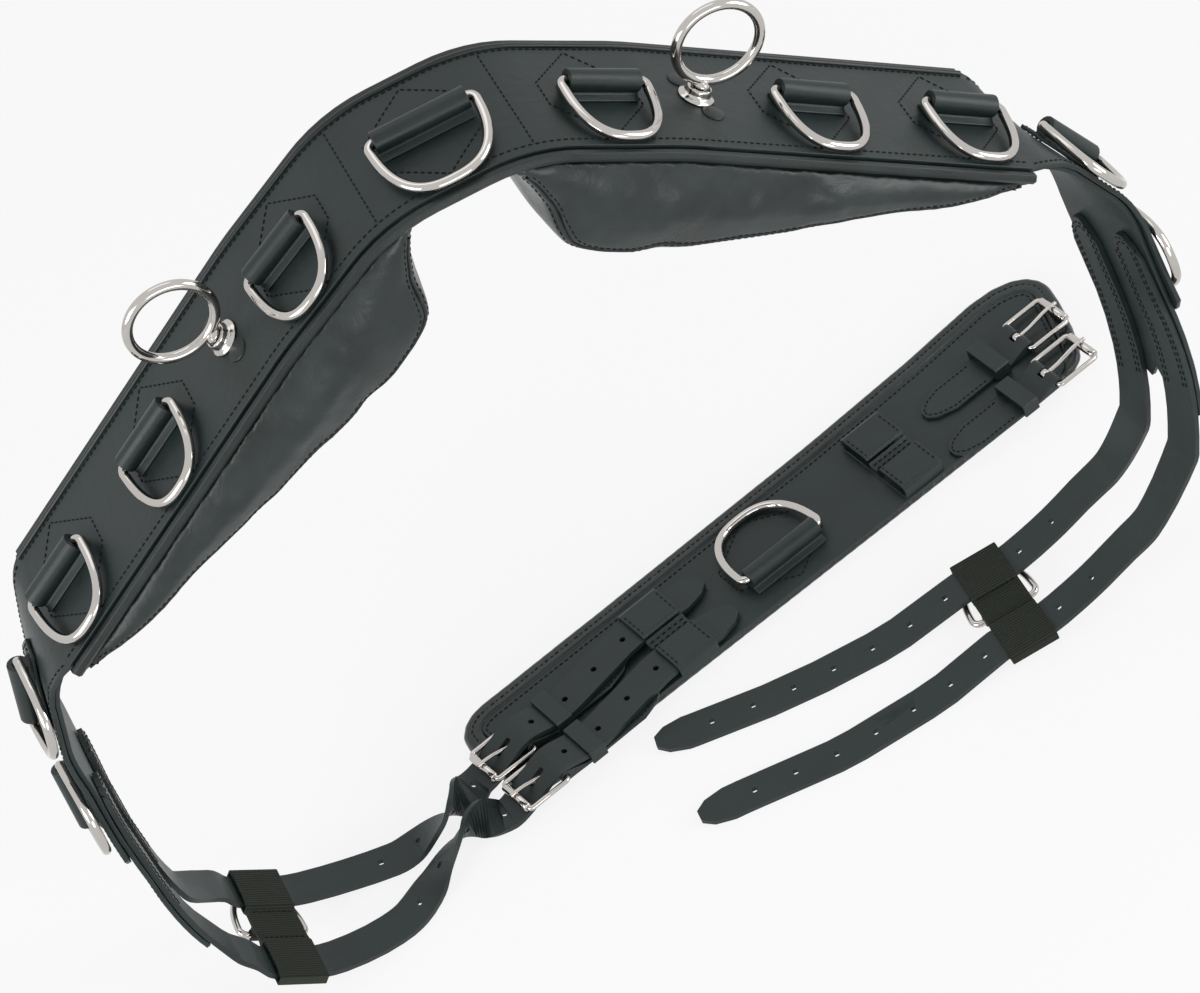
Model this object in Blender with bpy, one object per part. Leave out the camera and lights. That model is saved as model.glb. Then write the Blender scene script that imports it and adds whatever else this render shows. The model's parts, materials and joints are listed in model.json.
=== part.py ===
"""Lunging surcingle: a padded body strap with dee rings, terrets, billets and a buckled girth.

Flat leather patterns are drawn as curves, cut into short lengths and bent along a path.
All lengths are metres. +X is the wearer's left to right, +Y is the rear edge, +Z is up.
"""
import math

import bmesh
import bpy
import numpy as np
from mathutils import Matrix, Vector

# Bend of the body strap: distance from the middle, slope below level in degrees
BENDS = ((0.0, 0), (0.016, 0), (0.0736, 33), (0.134, 33), (0.146, 37.5), (0.374, 37.5),
         (0.398, 70), (0.454, 70), (0.486, 89), (0.542, 89), (0.600, 103), (0.645, 112),
         (0.827, 180), (1.100, 180))
# Twist of the lower straps about their length in degrees, and their drift to the front
TWISTS = {1: ((0.374, 0), (0.412, 14), (0.652, 14), (0.700, 0)),
          -1: ((0.374, 0), (0.412, 5), (0.520, 3), (0.590, -2), (0.652, -5), (0.700, 0))}
TWIST_START = 0.374
TWIST_SET = 0.412
DRIFT_RANGE = (0.460, 0.645)
DRIFT_RIGHT = -0.058
DRIFT_LEFT = -0.026
# Both lower straps lean this much to the right: amount, and the distances where it comes and goes
LEANS = {1: (0.010, (0.385, 0.460), (0.665, 0.745)), -1: (0.012, (0.400, 0.498), (0.560, 0.680))}
TOP_HEIGHT = 0.550
PATH_END = 1.080
PATH_STEP = 0.002

# Layers of the body strap, outside to inside
GAP = 0.0003
LEATHER = 0.003
FELT = 0.003
LINING = 0.002
BILLET = 0.0035
BAND_HALF = 0.050
LOWER_HALF = 0.043
BAND_END = 0.560
CORE_END = 0.372
LINING_END = 0.380
PIPING_RADIUS = 0.0035
PLATE_LENGTH = 0.140
PLATE_WIDTH = 0.040
PLATE_THICK = 0.0022
SIDE_START = 0.3815
SIDE_ENDS = {1: 0.628, -1: 0.649}
BILLET_ROOT = 0.500
ROOT_END = 0.650
BILLET_HALF = 0.0125
BILLET_SPREAD = 0.022
ROOT_GAPS = 3.0
HOLE_RADIUS = 0.0022
HOLE_PITCH = 0.028
HOLE_COUNT = 10
LAST_HOLE = 0.040
SLOT_HALF = 0.0065
SLOT_CLEAR = 0.014
# Lines along the lower straps at which their layers are cut, so that a twist bends them evenly
WIDTH_CUTS = (-0.021, 0.0, 0.021)

# Dee rings: distance of each bar from the middle
DEE_PLACES = {1: (0.106, 0.243, 0.346, 0.434, 0.5225), -1: (0.106, 0.243, 0.346, 0.434, 0.524)}
DEE_WIDTH = 0.059
DEE_REACH = 0.047
DEE_WIRE = 0.003
DEE_BAR_HEIGHT = 0.009
DEE_ROLL_RADIUS = 0.00675
DEE_ROLL_LENGTH = 0.045
BIG_DEE_WIDTH = 0.072
BIG_DEE_REACH = 0.049
BIG_ROLL_LENGTH = 0.058
BORE_CLEARANCE = 0.0003
DEE_SAG_DEG = 6.5

# Terrets
TERRET_PLACE = 0.169
TERRET_RING_RADIUS = 0.02565
TERRET_WIRE = 0.00315
TERRET_CENTRE = 0.037
COLLAR_RADIUS = 0.0075
COLLAR_HEIGHT = 0.0075
STEM_RADIUS = 0.0035

# Pads
PAD_START = 0.026
PAD_END = 0.390
PAD_HALF = 0.053
PAD_LEAN = 0.045
PAD_LEAN_END = 0.130
PAD_BULGE = 0.16
PAD_FLARE = 0.09
PAD_CROWN = 0.10
PAD_DEPTHS = ((0.071, 0.055), (0.082, 0.064), (0.116, 0.073), (0.171, 0.067), (0.232, 0.052),
              (0.291, 0.033), (0.354, 0.018), (0.390, 0.010))

# Girth
GIRTH_ORIGIN = (-0.117, 0.086, 0.0)
GIRTH_TURN_DEG = 14.4
# Outline of the girth seen from above, anticlockwise from the right rear corner
GIRTH_EDGE = ((0.491, -0.022), (0.4905, -0.013), (0.486, -0.004), (0.477, 0.003), (0.463, 0.0078),
              (0.444, 0.0092), (0.381, 0.0045), (0.289, 0.0012), (0.115, 0.0), (0.016, 0.0),
              (0.006, -0.0012), (-0.003, -0.0055), (-0.0095, -0.0125), (-0.0115, -0.022),
              (-0.0112, -0.046), (-0.0105, -0.071), (-0.007, -0.080), (0.001, -0.0855), (0.014, -0.087),
              (0.120, -0.088), (0.288, -0.0905), (0.377, -0.0915), (0.436, -0.0915), (0.452, -0.0895),
              (0.463, -0.0845), (0.4695, -0.076), (0.4765, -0.062), (0.4865, -0.037))
GIRTH_SQUARE = -0.070
GIRTH_RIM = 0.0135
GIRTH_RIM_HEIGHT = 0.0096
GIRTH_BASE = 0.0065
PANEL_TOP = 0.0098
GIRTH_DEE_X = 0.222
GIRTH_DEE_Y = -0.066
KEEPER_WALL = 0.003
DOUBLE_KEEPERS = ((0.117, 0.148), (0.308, 0.340))
TUNNEL_Y = (-0.038, -0.074)
TUNNEL_HALF = 0.0135
TUNNEL_TOP = 0.0173
STRAP_Y = (-0.048, -0.084)

# Buckles
HEEL_LEFT = 0.0165
HEEL_RIGHT = (0.443, 0.434)
STRAP_RIGHT = (-0.0455, -0.0845)
BAR_RISE = 0.0046
BUCKLE_WIRE = 0.00175
BUCKLE_REACH = 0.032
BUCKLE_INNER_HALF = 0.0131
ROLLER_RADIUS = 0.003
CHAPE_ROLL_RADIUS = 0.0043
CHAPE_LENGTH = 0.084
CHAPE_THICK = 0.0025
TONGUE_RADIUS = 0.0014
SMALL_KEEPER = (-0.031, -0.019)
SMALL_KEEPER_CLEAR = 0.006
SMALL_KEEPER_WALL = 0.0018
TONGUE_SLOT_BACK = 0.0046
TONGUE_SLOT_HALF = 0.0027
TONGUE_LOOP_RADIUS = 0.0036

# Webbing keepers
WEB_WIDTH = 0.033
WEB_THICK = 0.0016
WEB_TUNNEL_HALF = 0.0155
WEB_RING_WIDTH = 0.050
WEB_RING_REACH = 0.036
WEB_RING_WIRE = 0.00225
WEB_BAR_RISE = 0.0067
# Middle of each webbing keeper (X, Z) and its slope below level in degrees; +1 right, -1 left
KEEPER_LINES = {1: ((0.2165, 0.0121), 4.0), -1: ((-0.2810, 0.0330), 37.0)}

# Colours (linear), roughness, metallic
LEATHER_COLOUR = ((0.026, 0.034, 0.034), 0.48, 0.0)
PAD_COLOUR = ((0.020, 0.027, 0.027), 0.42, 0.0)
FELT_COLOUR = ((0.030, 0.032, 0.033), 0.95, 0.0)
NICKEL_COLOUR = ((0.62, 0.60, 0.56), 0.16, 1.0)
STEEL_COLOUR = ((0.45, 0.45, 0.46), 0.35, 1.0)
WEB_COLOUR = ((0.014, 0.017, 0.018), 0.85, 0.0)


class Path:
    """A centre line that carries a width direction and an outward direction."""

    def __init__(self, points, wides, start):
        self.points = np.array(points, float)
        steps = np.linalg.norm(np.diff(self.points, axis=0), axis=1)
        self.dist = start + np.concatenate(([0.0], np.cumsum(steps)))
        along = np.gradient(self.points, axis=0)
        self.along = along / np.linalg.norm(along, axis=1)[:, None]
        wides = np.array(wides, float)
        wides = wides - (wides * self.along).sum(axis=1)[:, None] * self.along
        self.wide = wides / np.linalg.norm(wides, axis=1)[:, None]

    def frame(self, s):
        """Origin and the three directions at distance s."""
        values = []
        for table in (self.points, self.along, self.wide):
            values.append(np.array([np.interp(s, self.dist, table[:, k]) for k in range(3)]))
        origin, along, wide = values
        along = along / np.linalg.norm(along)
        wide = wide - wide.dot(along) * along
        wide = wide / np.linalg.norm(wide)
        return origin, along, wide, np.cross(along, wide)

    def at(self, s, w=0.0, h=0.0):
        origin, along, wide, out = self.frame(s)
        return Vector(origin + w * wide + h * out)

    def matrix(self, s, w=0.0, h=0.0):
        origin, along, wide, out = self.frame(s)
        place = Matrix.Identity(4)
        for row in range(3):
            place[row][0] = along[row]
            place[row][1] = wide[row]
            place[row][2] = out[row]
        place.translation = self.at(s, w, h)
        return place

    def cuts(self, low, high, turn_deg=6.0, longest=0.045):
        """Distances at which a flat piece has to be cut to follow the bends."""
        marks = []
        last = low
        last_frame = self.frame(low)
        for s in np.arange(low + PATH_STEP, high - 1.5 * PATH_STEP, PATH_STEP):
            here = self.frame(s)
            turn = max(math.degrees(math.acos(min(1.0, here[k].dot(last_frame[k])))) for k in (1, 2, 3))
            if turn >= turn_deg or s - last >= longest:
                marks.append(float(s))
                last = s
                last_frame = here
        return marks


def look_up(pairs, value):
    """Straight-line reading of a table of (place, value) pairs."""
    return float(np.interp(value, [p[0] for p in pairs], [p[1] for p in pairs]))


def ease(low, high, value):
    """Smooth step from 0 to 1 between two values."""
    u = min(1.0, max(0.0, (value - low) / (high - low)))
    return u * u * (3 - 2 * u)


def smooth_table(pairs, value):
    """Reading of a table of (place, value) pairs that eases in and out of every row."""
    total = pairs[0][1]
    for first, second in zip(pairs, pairs[1:]):
        total += (second[1] - first[1]) * ease(first[0], second[0], value)
    return total


def side_arch():
    """Outline of one half of the strap's side view: distances, outward runs, heights, slopes."""
    dist = np.arange(0.0, PATH_END + PATH_STEP, PATH_STEP)
    slope = np.radians([look_up(BENDS, s) for s in dist])
    run = np.concatenate(([0.0], np.cumsum((np.cos(slope[1:]) + np.cos(slope[:-1])) / 2) * PATH_STEP))
    drop = np.concatenate(([0.0], np.cumsum((np.sin(slope[1:]) + np.sin(slope[:-1])) / 2) * PATH_STEP))
    return dist, run, TOP_HEIGHT - drop, slope


ARCH = side_arch()


def arch_frame(s):
    """Point, outward normal and twisted width direction of the strap surface at signed distance s."""
    dist, run, height, slope = ARCH
    side = 1.0 if s >= 0 else -1.0
    size = abs(s)
    angle = float(np.interp(size, dist, slope))
    drift = (DRIFT_RIGHT if s >= 0 else DRIFT_LEFT) * ease(*DRIFT_RANGE, size)
    amount, comes, goes = LEANS[int(side)]
    lean = amount * (ease(*comes, size) - ease(*goes, size))
    point = np.array([side * np.interp(size, dist, run) + lean, drift, np.interp(size, dist, height)])
    out = np.array([side * math.sin(angle), 0.0, math.cos(angle)])
    twist = math.radians(smooth_table(TWISTS[int(side)], size))
    wide = np.array([0.0, 1.0, 0.0]) * math.cos(twist) - out * math.sin(twist)
    return point, out, wide


def band_path():
    reach = 0.660
    count = int(round(reach / PATH_STEP))
    places = [k * PATH_STEP for k in range(-count, count + 1)]
    frames = [arch_frame(s) for s in places]
    path = Path([f[0] for f in frames], [f[2] for f in frames], 0.0)
    path.dist = path.dist - path.dist[count]
    return path


BAND = band_path()


def shared_marks():
    """Places where every layer of the body strap is cut, so that their facets lie flat together."""
    knots = sorted({b[0] for b in BENDS if b[0] < 0.660} | {TWIST_START, TWIST_SET, PAD_START, 0.656})
    marks = set()
    for low, high in zip(knots, knots[1:]):
        twisting = low >= TWIST_START - 1e-6 and high <= TWIST_SET + 1e-6
        fine = 3.0 if low >= 0.48 else 5.5
        marks.add(low)
        marks.update(BAND.cuts(low, high, fine, 0.006 if twisting else 0.045))
    marks.add(knots[-1])
    return sorted({round(m, 6) for m in marks} | {round(-m, 6) for m in marks})


MARKS = shared_marks()


def marks_between(low, high, clear=0.0004):
    return [m for m in MARKS if low + clear < m < high - clear]


# Materials and scene

def material(name, look):
    colour, roughness, metallic = look
    made = bpy.data.materials.new(name)
    made.use_nodes = True
    shader = made.node_tree.nodes["Principled BSDF"]
    shader.inputs["Base Color"].default_value = (*colour, 1.0)
    shader.inputs["Roughness"].default_value = roughness
    shader.inputs["Metallic"].default_value = metallic
    made.diffuse_color = (*colour, 1.0)
    return made


def clear_scene():
    for item in list(bpy.data.objects):
        bpy.data.objects.remove(item, do_unlink=True)


def add_object(name, mesh, look, collection, joint_at=None):
    """Put a finished mesh in the scene, with its origin on the joint axis if it moves."""
    mesh.name = name
    mesh.materials.clear()
    mesh.materials.append(material(name, look))
    item = bpy.data.objects.new(name, mesh)
    if joint_at is not None:
        mesh.transform(Matrix.Translation(-Vector(joint_at)))
        item.location = Vector(joint_at)
    collection.objects.link(item)
    return item


# Modelling tools

def curve_mesh(curve, weld=1e-6):
    item = bpy.data.objects.new("pattern", curve)
    bpy.context.scene.collection.objects.link(item)
    mesh = bpy.data.meshes.new_from_object(item)
    bpy.data.objects.remove(item, do_unlink=True)
    bpy.data.curves.remove(curve)
    bm = bmesh.new()
    bm.from_mesh(mesh)
    bmesh.ops.remove_doubles(bm, verts=bm.verts, dist=weld)
    bmesh.ops.recalc_face_normals(bm, faces=bm.faces)
    bm.to_mesh(mesh)
    bm.free()
    return mesh


def add_loop(curve, points, closed=True):
    spline = curve.splines.new("POLY")
    spline.points.add(len(points) - 1)
    for target, point in zip(spline.points, points):
        x, y, z = (*point, 0.0)[:3]
        target.co = (x, y, z, 1.0)
    spline.use_cyclic_u = closed


def slab(outline, low, high, holes=()):
    """A flat outline with holes, solid between the heights low and high."""
    curve = bpy.data.curves.new("outline", "CURVE")
    curve.dimensions = "2D"
    curve.fill_mode = "BOTH"
    curve.extrude = (high - low) / 2
    add_loop(curve, outline)
    for hole in holes:
        add_loop(curve, hole)
    mesh = curve_mesh(curve)
    mesh.transform(Matrix.Translation((0, 0, (high + low) / 2)))
    if holes:
        return mesh
    bm = bmesh.new()
    bm.from_mesh(mesh)
    flat_edges = [e for e in bm.edges if abs(e.verts[0].co.z - e.verts[1].co.z) < 1e-9]
    bmesh.ops.dissolve_limit(bm, angle_limit=math.radians(0.1), verts=bm.verts, edges=flat_edges)
    bm.to_mesh(mesh)
    bm.free()
    return mesh


def tube(points, radius, closed, rings=2):
    """Round wire along a line of points."""
    curve = bpy.data.curves.new("wire", "CURVE")
    curve.dimensions = "3D"
    curve.bevel_depth = radius
    curve.bevel_resolution = rings
    curve.use_fill_caps = not closed
    add_loop(curve, points, closed)
    return curve_mesh(curve)


def turned(profile, steps=16):
    """A shape turned about the Z axis from (radius, height) points."""
    bm = bmesh.new()
    verts = [bm.verts.new((r, 0.0, z)) for r, z in profile]
    edges = [bm.edges.new(pair) for pair in zip(verts, verts[1:])]
    bmesh.ops.spin(bm, geom=verts + edges, cent=(0, 0, 0), axis=(0, 0, 1), angle=math.tau,
                   steps=steps, use_merge=True, use_duplicate=False)
    bmesh.ops.remove_doubles(bm, verts=bm.verts, dist=1e-6)
    bmesh.ops.recalc_face_normals(bm, faces=bm.faces)
    mesh = bpy.data.meshes.new("turned")
    bm.to_mesh(mesh)
    bm.free()
    return mesh


def combine(first, second, operation):
    """Exact Boolean of two meshes."""
    base = bpy.data.objects.new("base", first)
    tool = bpy.data.objects.new("tool", second)
    for item in (base, tool):
        bpy.context.scene.collection.objects.link(item)
    step = base.modifiers.new("cut", "BOOLEAN")
    step.operation = operation
    step.solver = "EXACT"
    step.object = tool
    view = bpy.context.evaluated_depsgraph_get()
    result = bpy.data.meshes.new_from_object(base.evaluated_get(view))
    for item in (base, tool):
        bpy.data.objects.remove(item, do_unlink=True)
    bm = bmesh.new()
    bm.from_mesh(result)
    bmesh.ops.remove_doubles(bm, verts=bm.verts, dist=2e-6)
    bmesh.ops.dissolve_degenerate(bm, edges=bm.edges, dist=1e-6)
    bm.to_mesh(result)
    bm.free()
    return result


def cut_across(bm, places, normal, within=None):
    """Cut a mesh at planes across the given direction, or only its part within a range of distance."""
    for place in places:
        faces = bm.faces[:]
        if within is not None:
            faces = [f for f in faces if within[0] < abs(f.calc_center_median().x) < within[1]]
        edges = {e for f in faces for e in f.edges}
        everything = list({v for e in edges for v in e.verts}) + list(edges) + faces
        point = Vector(normal) * place
        bmesh.ops.bisect_plane(bm, geom=everything, plane_co=point, plane_no=normal, dist=1e-7)


def bend(mesh, path, cuts, holes=()):
    """Cut a flat piece at the given distances, punch its holes and lay it along the path."""
    bm = bmesh.new()
    bm.from_mesh(mesh)
    cut_across(bm, cuts, (1, 0, 0))
    if path is BAND:
        cut_across(bm, WIDTH_CUTS, (0, 1, 0), (TWIST_START, PATH_END))
    if holes:
        bm.to_mesh(mesh)
        bm.free()
        mesh = combine(mesh, punches(holes), "DIFFERENCE")
        bm = bmesh.new()
        bm.from_mesh(mesh)
    for vert in bm.verts:
        vert.co = path.at(vert.co.x, vert.co.y, vert.co.z)
    bm.to_mesh(mesh)
    bm.free()
    return mesh


def punches(holes):
    """One mesh holding a tall prism for each hole outline."""
    bm = bmesh.new()
    for hole in holes:
        bm.from_mesh(slab(hole, -0.020, 0.020))
    mesh = bpy.data.meshes.new("punches")
    bm.to_mesh(mesh)
    bm.free()
    return mesh


def box(low, high):
    low = Vector(low)
    high = Vector(high)
    bm = bmesh.new()
    bmesh.ops.create_cube(bm, size=1.0)
    for vert in bm.verts:
        for k in range(3):
            vert.co[k] = high[k] if vert.co[k] > 0 else low[k]
    mesh = bpy.data.meshes.new("box")
    bm.to_mesh(mesh)
    bm.free()
    return mesh


def circle(radius, count, cx=0.0, cy=0.0, start=0.0, sweep=math.tau):
    whole = abs(sweep - math.tau) < 1e-9
    parts = count if whole else count - 1
    angles = [start + sweep * k / parts for k in range(count)]
    return [(cx + radius * math.cos(a), cy + radius * math.sin(a)) for a in angles]


def both_sides(profile):
    """Outline that is the same on both sides of its length, from (distance, half width) points."""
    return list(profile) + [(s, -w) for s, w in reversed(profile)]


def extrude_along(profile, length, holes=()):
    """Solid with a (width, height) section, running along the first axis, centred."""
    mesh = slab(profile, -length / 2, length / 2, holes)
    swap = Matrix(((0, 0, 1, 0), (1, 0, 0, 0), (0, 1, 0, 0), (0, 0, 0, 1)))
    mesh.transform(swap)
    return mesh


# Body strap

def outer_leather():
    edge = [(0.0, BAND_HALF), (0.375, BAND_HALF), (0.398, LOWER_HALF), (BAND_END - 0.006, LOWER_HALF),
            (BAND_END, LOWER_HALF - 0.006)]
    right = [(s, w) for s, w in edge]
    left = [(-s, w) for s, w in reversed(edge)][:-1]
    outline = both_sides(left + right)
    mesh = slab(outline, -LEATHER, 0.0)
    return bend(mesh, BAND, marks_between(-BAND_END, BAND_END))


def felt_core():
    top = -LEATHER - GAP
    half = BAND_HALF - GAP
    window_s = PLATE_LENGTH / 2 + 2 * GAP
    window_w = PLATE_WIDTH / 2 + GAP
    outline = both_sides([(-CORE_END, half), (CORE_END, half)])
    window = both_sides([(-window_s, window_w), (window_s, window_w)])
    mesh = slab(outline, top - FELT, top)
    return bend(mesh, BAND, marks_between(-CORE_END, CORE_END), [window])


def gullet_plate():
    top = -LEATHER - 2 * GAP
    half_s = PLATE_LENGTH / 2
    half_w = PLATE_WIDTH / 2
    corner = 0.006
    edge = [(-half_s, half_w - corner), (-half_s + corner, half_w), (half_s - corner, half_w),
            (half_s, half_w - corner)]
    mesh = slab(both_sides(edge), top - PLATE_THICK, top)
    return bend(mesh, BAND, marks_between(-half_s, half_s))


def lining():
    top = -LEATHER - FELT - 2 * GAP
    half = BAND_HALF - GAP
    mesh = slab(both_sides([(-LINING_END, half), (LINING_END, half)]), top - LINING, top)
    return bend(mesh, BAND, marks_between(-LINING_END, LINING_END))


def piping(side):
    """Round edge cord; side is +1 at the rear and -1 at the front."""
    end = 0.375
    w = side * (BAND_HALF + GAP + PIPING_RADIUS)
    h = -LEATHER - FELT / 2
    places = [-end] + marks_between(-end, end, 0.002) + [end]
    return tube([BAND.at(s, w, h) for s in places], PIPING_RADIUS, False, 1)


def pad(side):
    """Stuffed cushion: a block cut into a grid, then shaped to its depth, bulge and crown."""
    top = -LEATHER - FELT - LINING - 3 * GAP
    bm = bmesh.new()
    bmesh.ops.create_cube(bm, size=2.0)
    length = PAD_END - PAD_START
    marks = marks_between(PAD_START, PAD_END, 0.003)
    marks += [PAD_START + 0.008] + [0.165 + 0.030 * k for k in range(7)]
    cut_across(bm, [2 * (m - PAD_START) / length - 1 for m in marks], (1, 0, 0))
    cut_across(bm, [-0.75, -0.3, 0.3, 0.75], (0, 1, 0))
    cut_across(bm, [-0.5, 0.2], (0, 0, 1))
    for vert in bm.verts:
        vert.co = pad_point(side, vert.co, top, length)
    if side < 0:
        bmesh.ops.reverse_faces(bm, faces=bm.faces)
    mesh = bpy.data.meshes.new("pad")
    bm.to_mesh(mesh)
    bm.free()
    return mesh


def pad_point(side, place, top, length):
    """Place on a pad of a point of the block, whose sides run from -1 to 1."""
    start = PAD_START + (place.x + 1) / 2 * length
    depth = (1 - place.z) / 2
    lean = PAD_LEAN * max(0.0, (PAD_LEAN_END - start) / (PAD_LEAN_END - PAD_START))
    deep = look_up(PAD_DEPTHS, start + lean)
    near = min(1.0, (start - PAD_START) / 0.020, (PAD_END - start) / 0.030)
    round_end = math.sqrt(max(0.0, 1 - (1 - near) ** 2))
    half = PAD_HALF * (0.90 + 0.10 * round_end) * (1 + PAD_BULGE * depth * (1 - depth))
    width = place.y * half * (1 + PAD_FLARE * depth)
    crown = 1 - PAD_CROWN * abs(place.y) ** 2.5
    height = top - deep * depth * crown * (0.80 + 0.20 * round_end)
    return BAND.at(side * (start + lean * depth), width, height)


def side_piece(side):
    """Inner reinforcement of the lower strap, with a stepped lower end."""
    top = -LEATHER - GAP
    end = SIDE_ENDS[side]
    outline = [(SIDE_START, 0.042), (0.470, 0.040), (0.530, 0.036), (end - 0.049, 0.034),
               (end - 0.037, 0.032), (end - 0.017, 0.006), (end - 0.025, 0.0), (end - 0.011, -0.008),
               (end, -0.030), (end - 0.003, -0.035), (end - 0.049, -0.036), (0.530, -0.038),
               (0.470, -0.040), (SIDE_START, -0.042)]
    signed = [(side * s, w) for s, w in outline]
    mesh = slab(signed, top - LEATHER, top)
    low, high = sorted((side * SIDE_START, side * end))
    return bend(mesh, BAND, marks_between(low, high))


# Dee rings

def dee_line(width, reach, wire, corner=0.0035, count=13):
    """Closed line of a dee: straight bar on the first axis, arc towards -Y."""
    a = width / 2 - wire
    b = reach
    points = []
    for k in range(count):
        angle = math.pi * k / (count - 1)
        c = math.cos(angle)
        s = math.sin(angle)
        x = a * math.copysign(abs(c) ** (2 / 3.2), c)
        y = -b * abs(s) ** (2 / 3.2)
        points.append((x, y, 0.0))
    points[0] = (a, -corner, 0.0)
    points[-1] = (-a, -corner, 0.0)
    bar = [(-a + corner * 0.3, -corner * 0.3, 0.0), (-a + corner, 0.0, 0.0),
           (a - corner, 0.0, 0.0), (a - corner * 0.3, -corner * 0.3, 0.0)]
    return points + bar


def dee_ring(place, width, reach, sag_deg, toward_front=True):
    mesh = tube(dee_line(width, reach, DEE_WIRE), DEE_WIRE, True)
    turn = Matrix.Rotation(math.radians(sag_deg), 4, "X")
    if not toward_front:
        turn = Matrix.Rotation(math.pi, 4, "Z") @ turn
    mesh.transform(place @ turn)
    return mesh


def chape_section(foot_low):
    """Section of the leather roll that holds a dee's bar, on a narrow foot."""
    neck = 0.0055
    foot_half = 0.009
    outer = circle(DEE_ROLL_RADIUS, 14, 0.0, DEE_BAR_HEIGHT, math.radians(-50), math.radians(280))
    section = [(-foot_half, foot_low), (foot_half, foot_low), (foot_half, foot_low + 0.0009),
               (neck, 0.0026)]
    section += outer
    section += [(-neck, 0.0026), (-foot_half, foot_low + 0.0009)]
    return section


def dee_chape(place, length, path=None, s=None):
    """Leather roll with its bore; with a path it also gets the six-sided patch below."""
    low = GAP if path is None else GAP + 0.0006
    bore = circle(DEE_WIRE + BORE_CLEARANCE, 10, 0.0, DEE_BAR_HEIGHT)
    mesh = extrude_along(chape_section(low), length, [bore])
    mesh.transform(place)
    if path is not None:
        patch = slab(chape_patch(s), 1.5 * GAP, 1.5 * GAP + 0.0022)
        patch = bend(patch, path, marks_between(s - 0.030, s + 0.030))
        mesh = combine(patch, mesh, "UNION")
    return mesh


def chape_patch(s):
    return [(s, 0.036), (s - 0.030, 0.010), (s - 0.030, -0.008), (s, -0.036), (s + 0.030, -0.008),
            (s + 0.030, 0.010)]


# Terrets

def terret_base():
    """Flanged collar with a blind bore for the ring's stem."""
    bore = STEM_RADIUS + BORE_CLEARANCE
    low = GAP
    profile = [(0.0, low), (0.011, low), (0.011, low + 0.0012), (COLLAR_RADIUS + 0.0008, low + 0.0022),
               (COLLAR_RADIUS, low + 0.0035), (COLLAR_RADIUS, COLLAR_HEIGHT - 0.001),
               (COLLAR_RADIUS - 0.001, COLLAR_HEIGHT), (bore, COLLAR_HEIGHT), (bore, 0.0025), (0.0, 0.0025)]
    return turned(profile)


def terret_ring():
    """Ring standing on its turned stem, ring plane across the second axis."""
    line = [(x, 0.0, TERRET_CENTRE + z) for x, z in circle(TERRET_RING_RADIUS, 24)]
    ring = tube(line, TERRET_WIRE, True)
    low = COLLAR_HEIGHT + GAP
    foot = TERRET_CENTRE - TERRET_RING_RADIUS
    profile = [(0.0, 0.0028), (STEM_RADIUS, 0.0028), (STEM_RADIUS, low), (0.0055, low),
               (0.0058, low + 0.0015), (0.0040, low + 0.0030), (0.0034, foot), (0.0, foot)]
    return combine(ring, turned(profile, 12), "UNION")


# Billets

def smooth_line(keys, step=0.003):
    """Curve through key rows by cubic interpolation of every column."""
    keys = np.array(keys, float)
    rows = []
    for k in range(len(keys) - 1):
        before = keys[max(k - 1, 0)]
        a = keys[k]
        b = keys[k + 1]
        after = keys[min(k + 2, len(keys) - 1)]
        span = np.linalg.norm((b - a)[:3])
        lead = np.linalg.norm((a - before)[:3])
        trail = np.linalg.norm((after - b)[:3])
        slope_a = (b - before) / (span + lead) * span
        slope_b = (after - a) / (span + trail) * span
        count = max(1, int(round(span / step)))
        for j in range(count):
            u = j / count
            rows.append((2 * u ** 3 - 3 * u ** 2 + 1) * a + (u ** 3 - 2 * u ** 2 + u) * slope_a
                        + (3 * u ** 2 - 2 * u ** 3) * b + (u ** 3 - u ** 2) * slope_b)
    rows.append(keys[-1])
    return np.array(rows)


def straight_keys(point, slope_deg, side, y):
    """Keys of a straight stretch through a webbing keeper, point given as (X, Z) of its middle."""
    run = -side * math.cos(math.radians(slope_deg))
    fall = -math.sin(math.radians(slope_deg))
    keys = []
    for step in (-0.019, -0.0065, 0.0065, 0.019):
        keys.append((point[0] + run * step, y, point[1] + fall * step, 0.0, side, 0.0))
    return keys


def arch_key(s, y, lift=0.0):
    """Key of a billet's middle surface on the free part of the arch."""
    point, out, wide = arch_frame(s)
    inside = look_up(((ROOT_END, LEATHER * 2 + ROOT_GAPS * GAP + BILLET / 2), (0.760, BILLET / 2 + 0.0002)), abs(s))
    spot = point - out * inside
    wide = wide if s >= 0 else -wide
    return (spot[0], y, spot[2] + lift, wide[0], wide[1], wide[2])


def root_keys(side, w):
    inside = LEATHER * 2 + ROOT_GAPS * GAP + BILLET / 2
    keys = []
    for s in np.arange(BILLET_ROOT, ROOT_END + 0.0001, 0.010):
        point = BAND.at(side * s, w, -inside)
        wide = BAND.frame(side * s)[2] * side
        keys.append((*point, *wide))
    return keys


GIRTH_LONG = Vector((math.cos(math.radians(GIRTH_TURN_DEG)), math.sin(math.radians(GIRTH_TURN_DEG)), 0))
GIRTH_ACROSS = Vector((-GIRTH_LONG.y, GIRTH_LONG.x, 0))


def on_girth(x, y, z):
    return Vector(GIRTH_ORIGIN) + GIRTH_LONG * x + GIRTH_ACROSS * y + Vector((0, 0, z))


def girth_matrix(x=0.0, y=0.0, z=0.0, flip=False):
    place = Matrix.Identity(4)
    sign = -1.0 if flip else 1.0
    for row in range(3):
        place[row][0] = sign * GIRTH_LONG[row]
        place[row][1] = sign * GIRTH_ACROSS[row]
    place.translation = on_girth(x, y, z)
    return place


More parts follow.
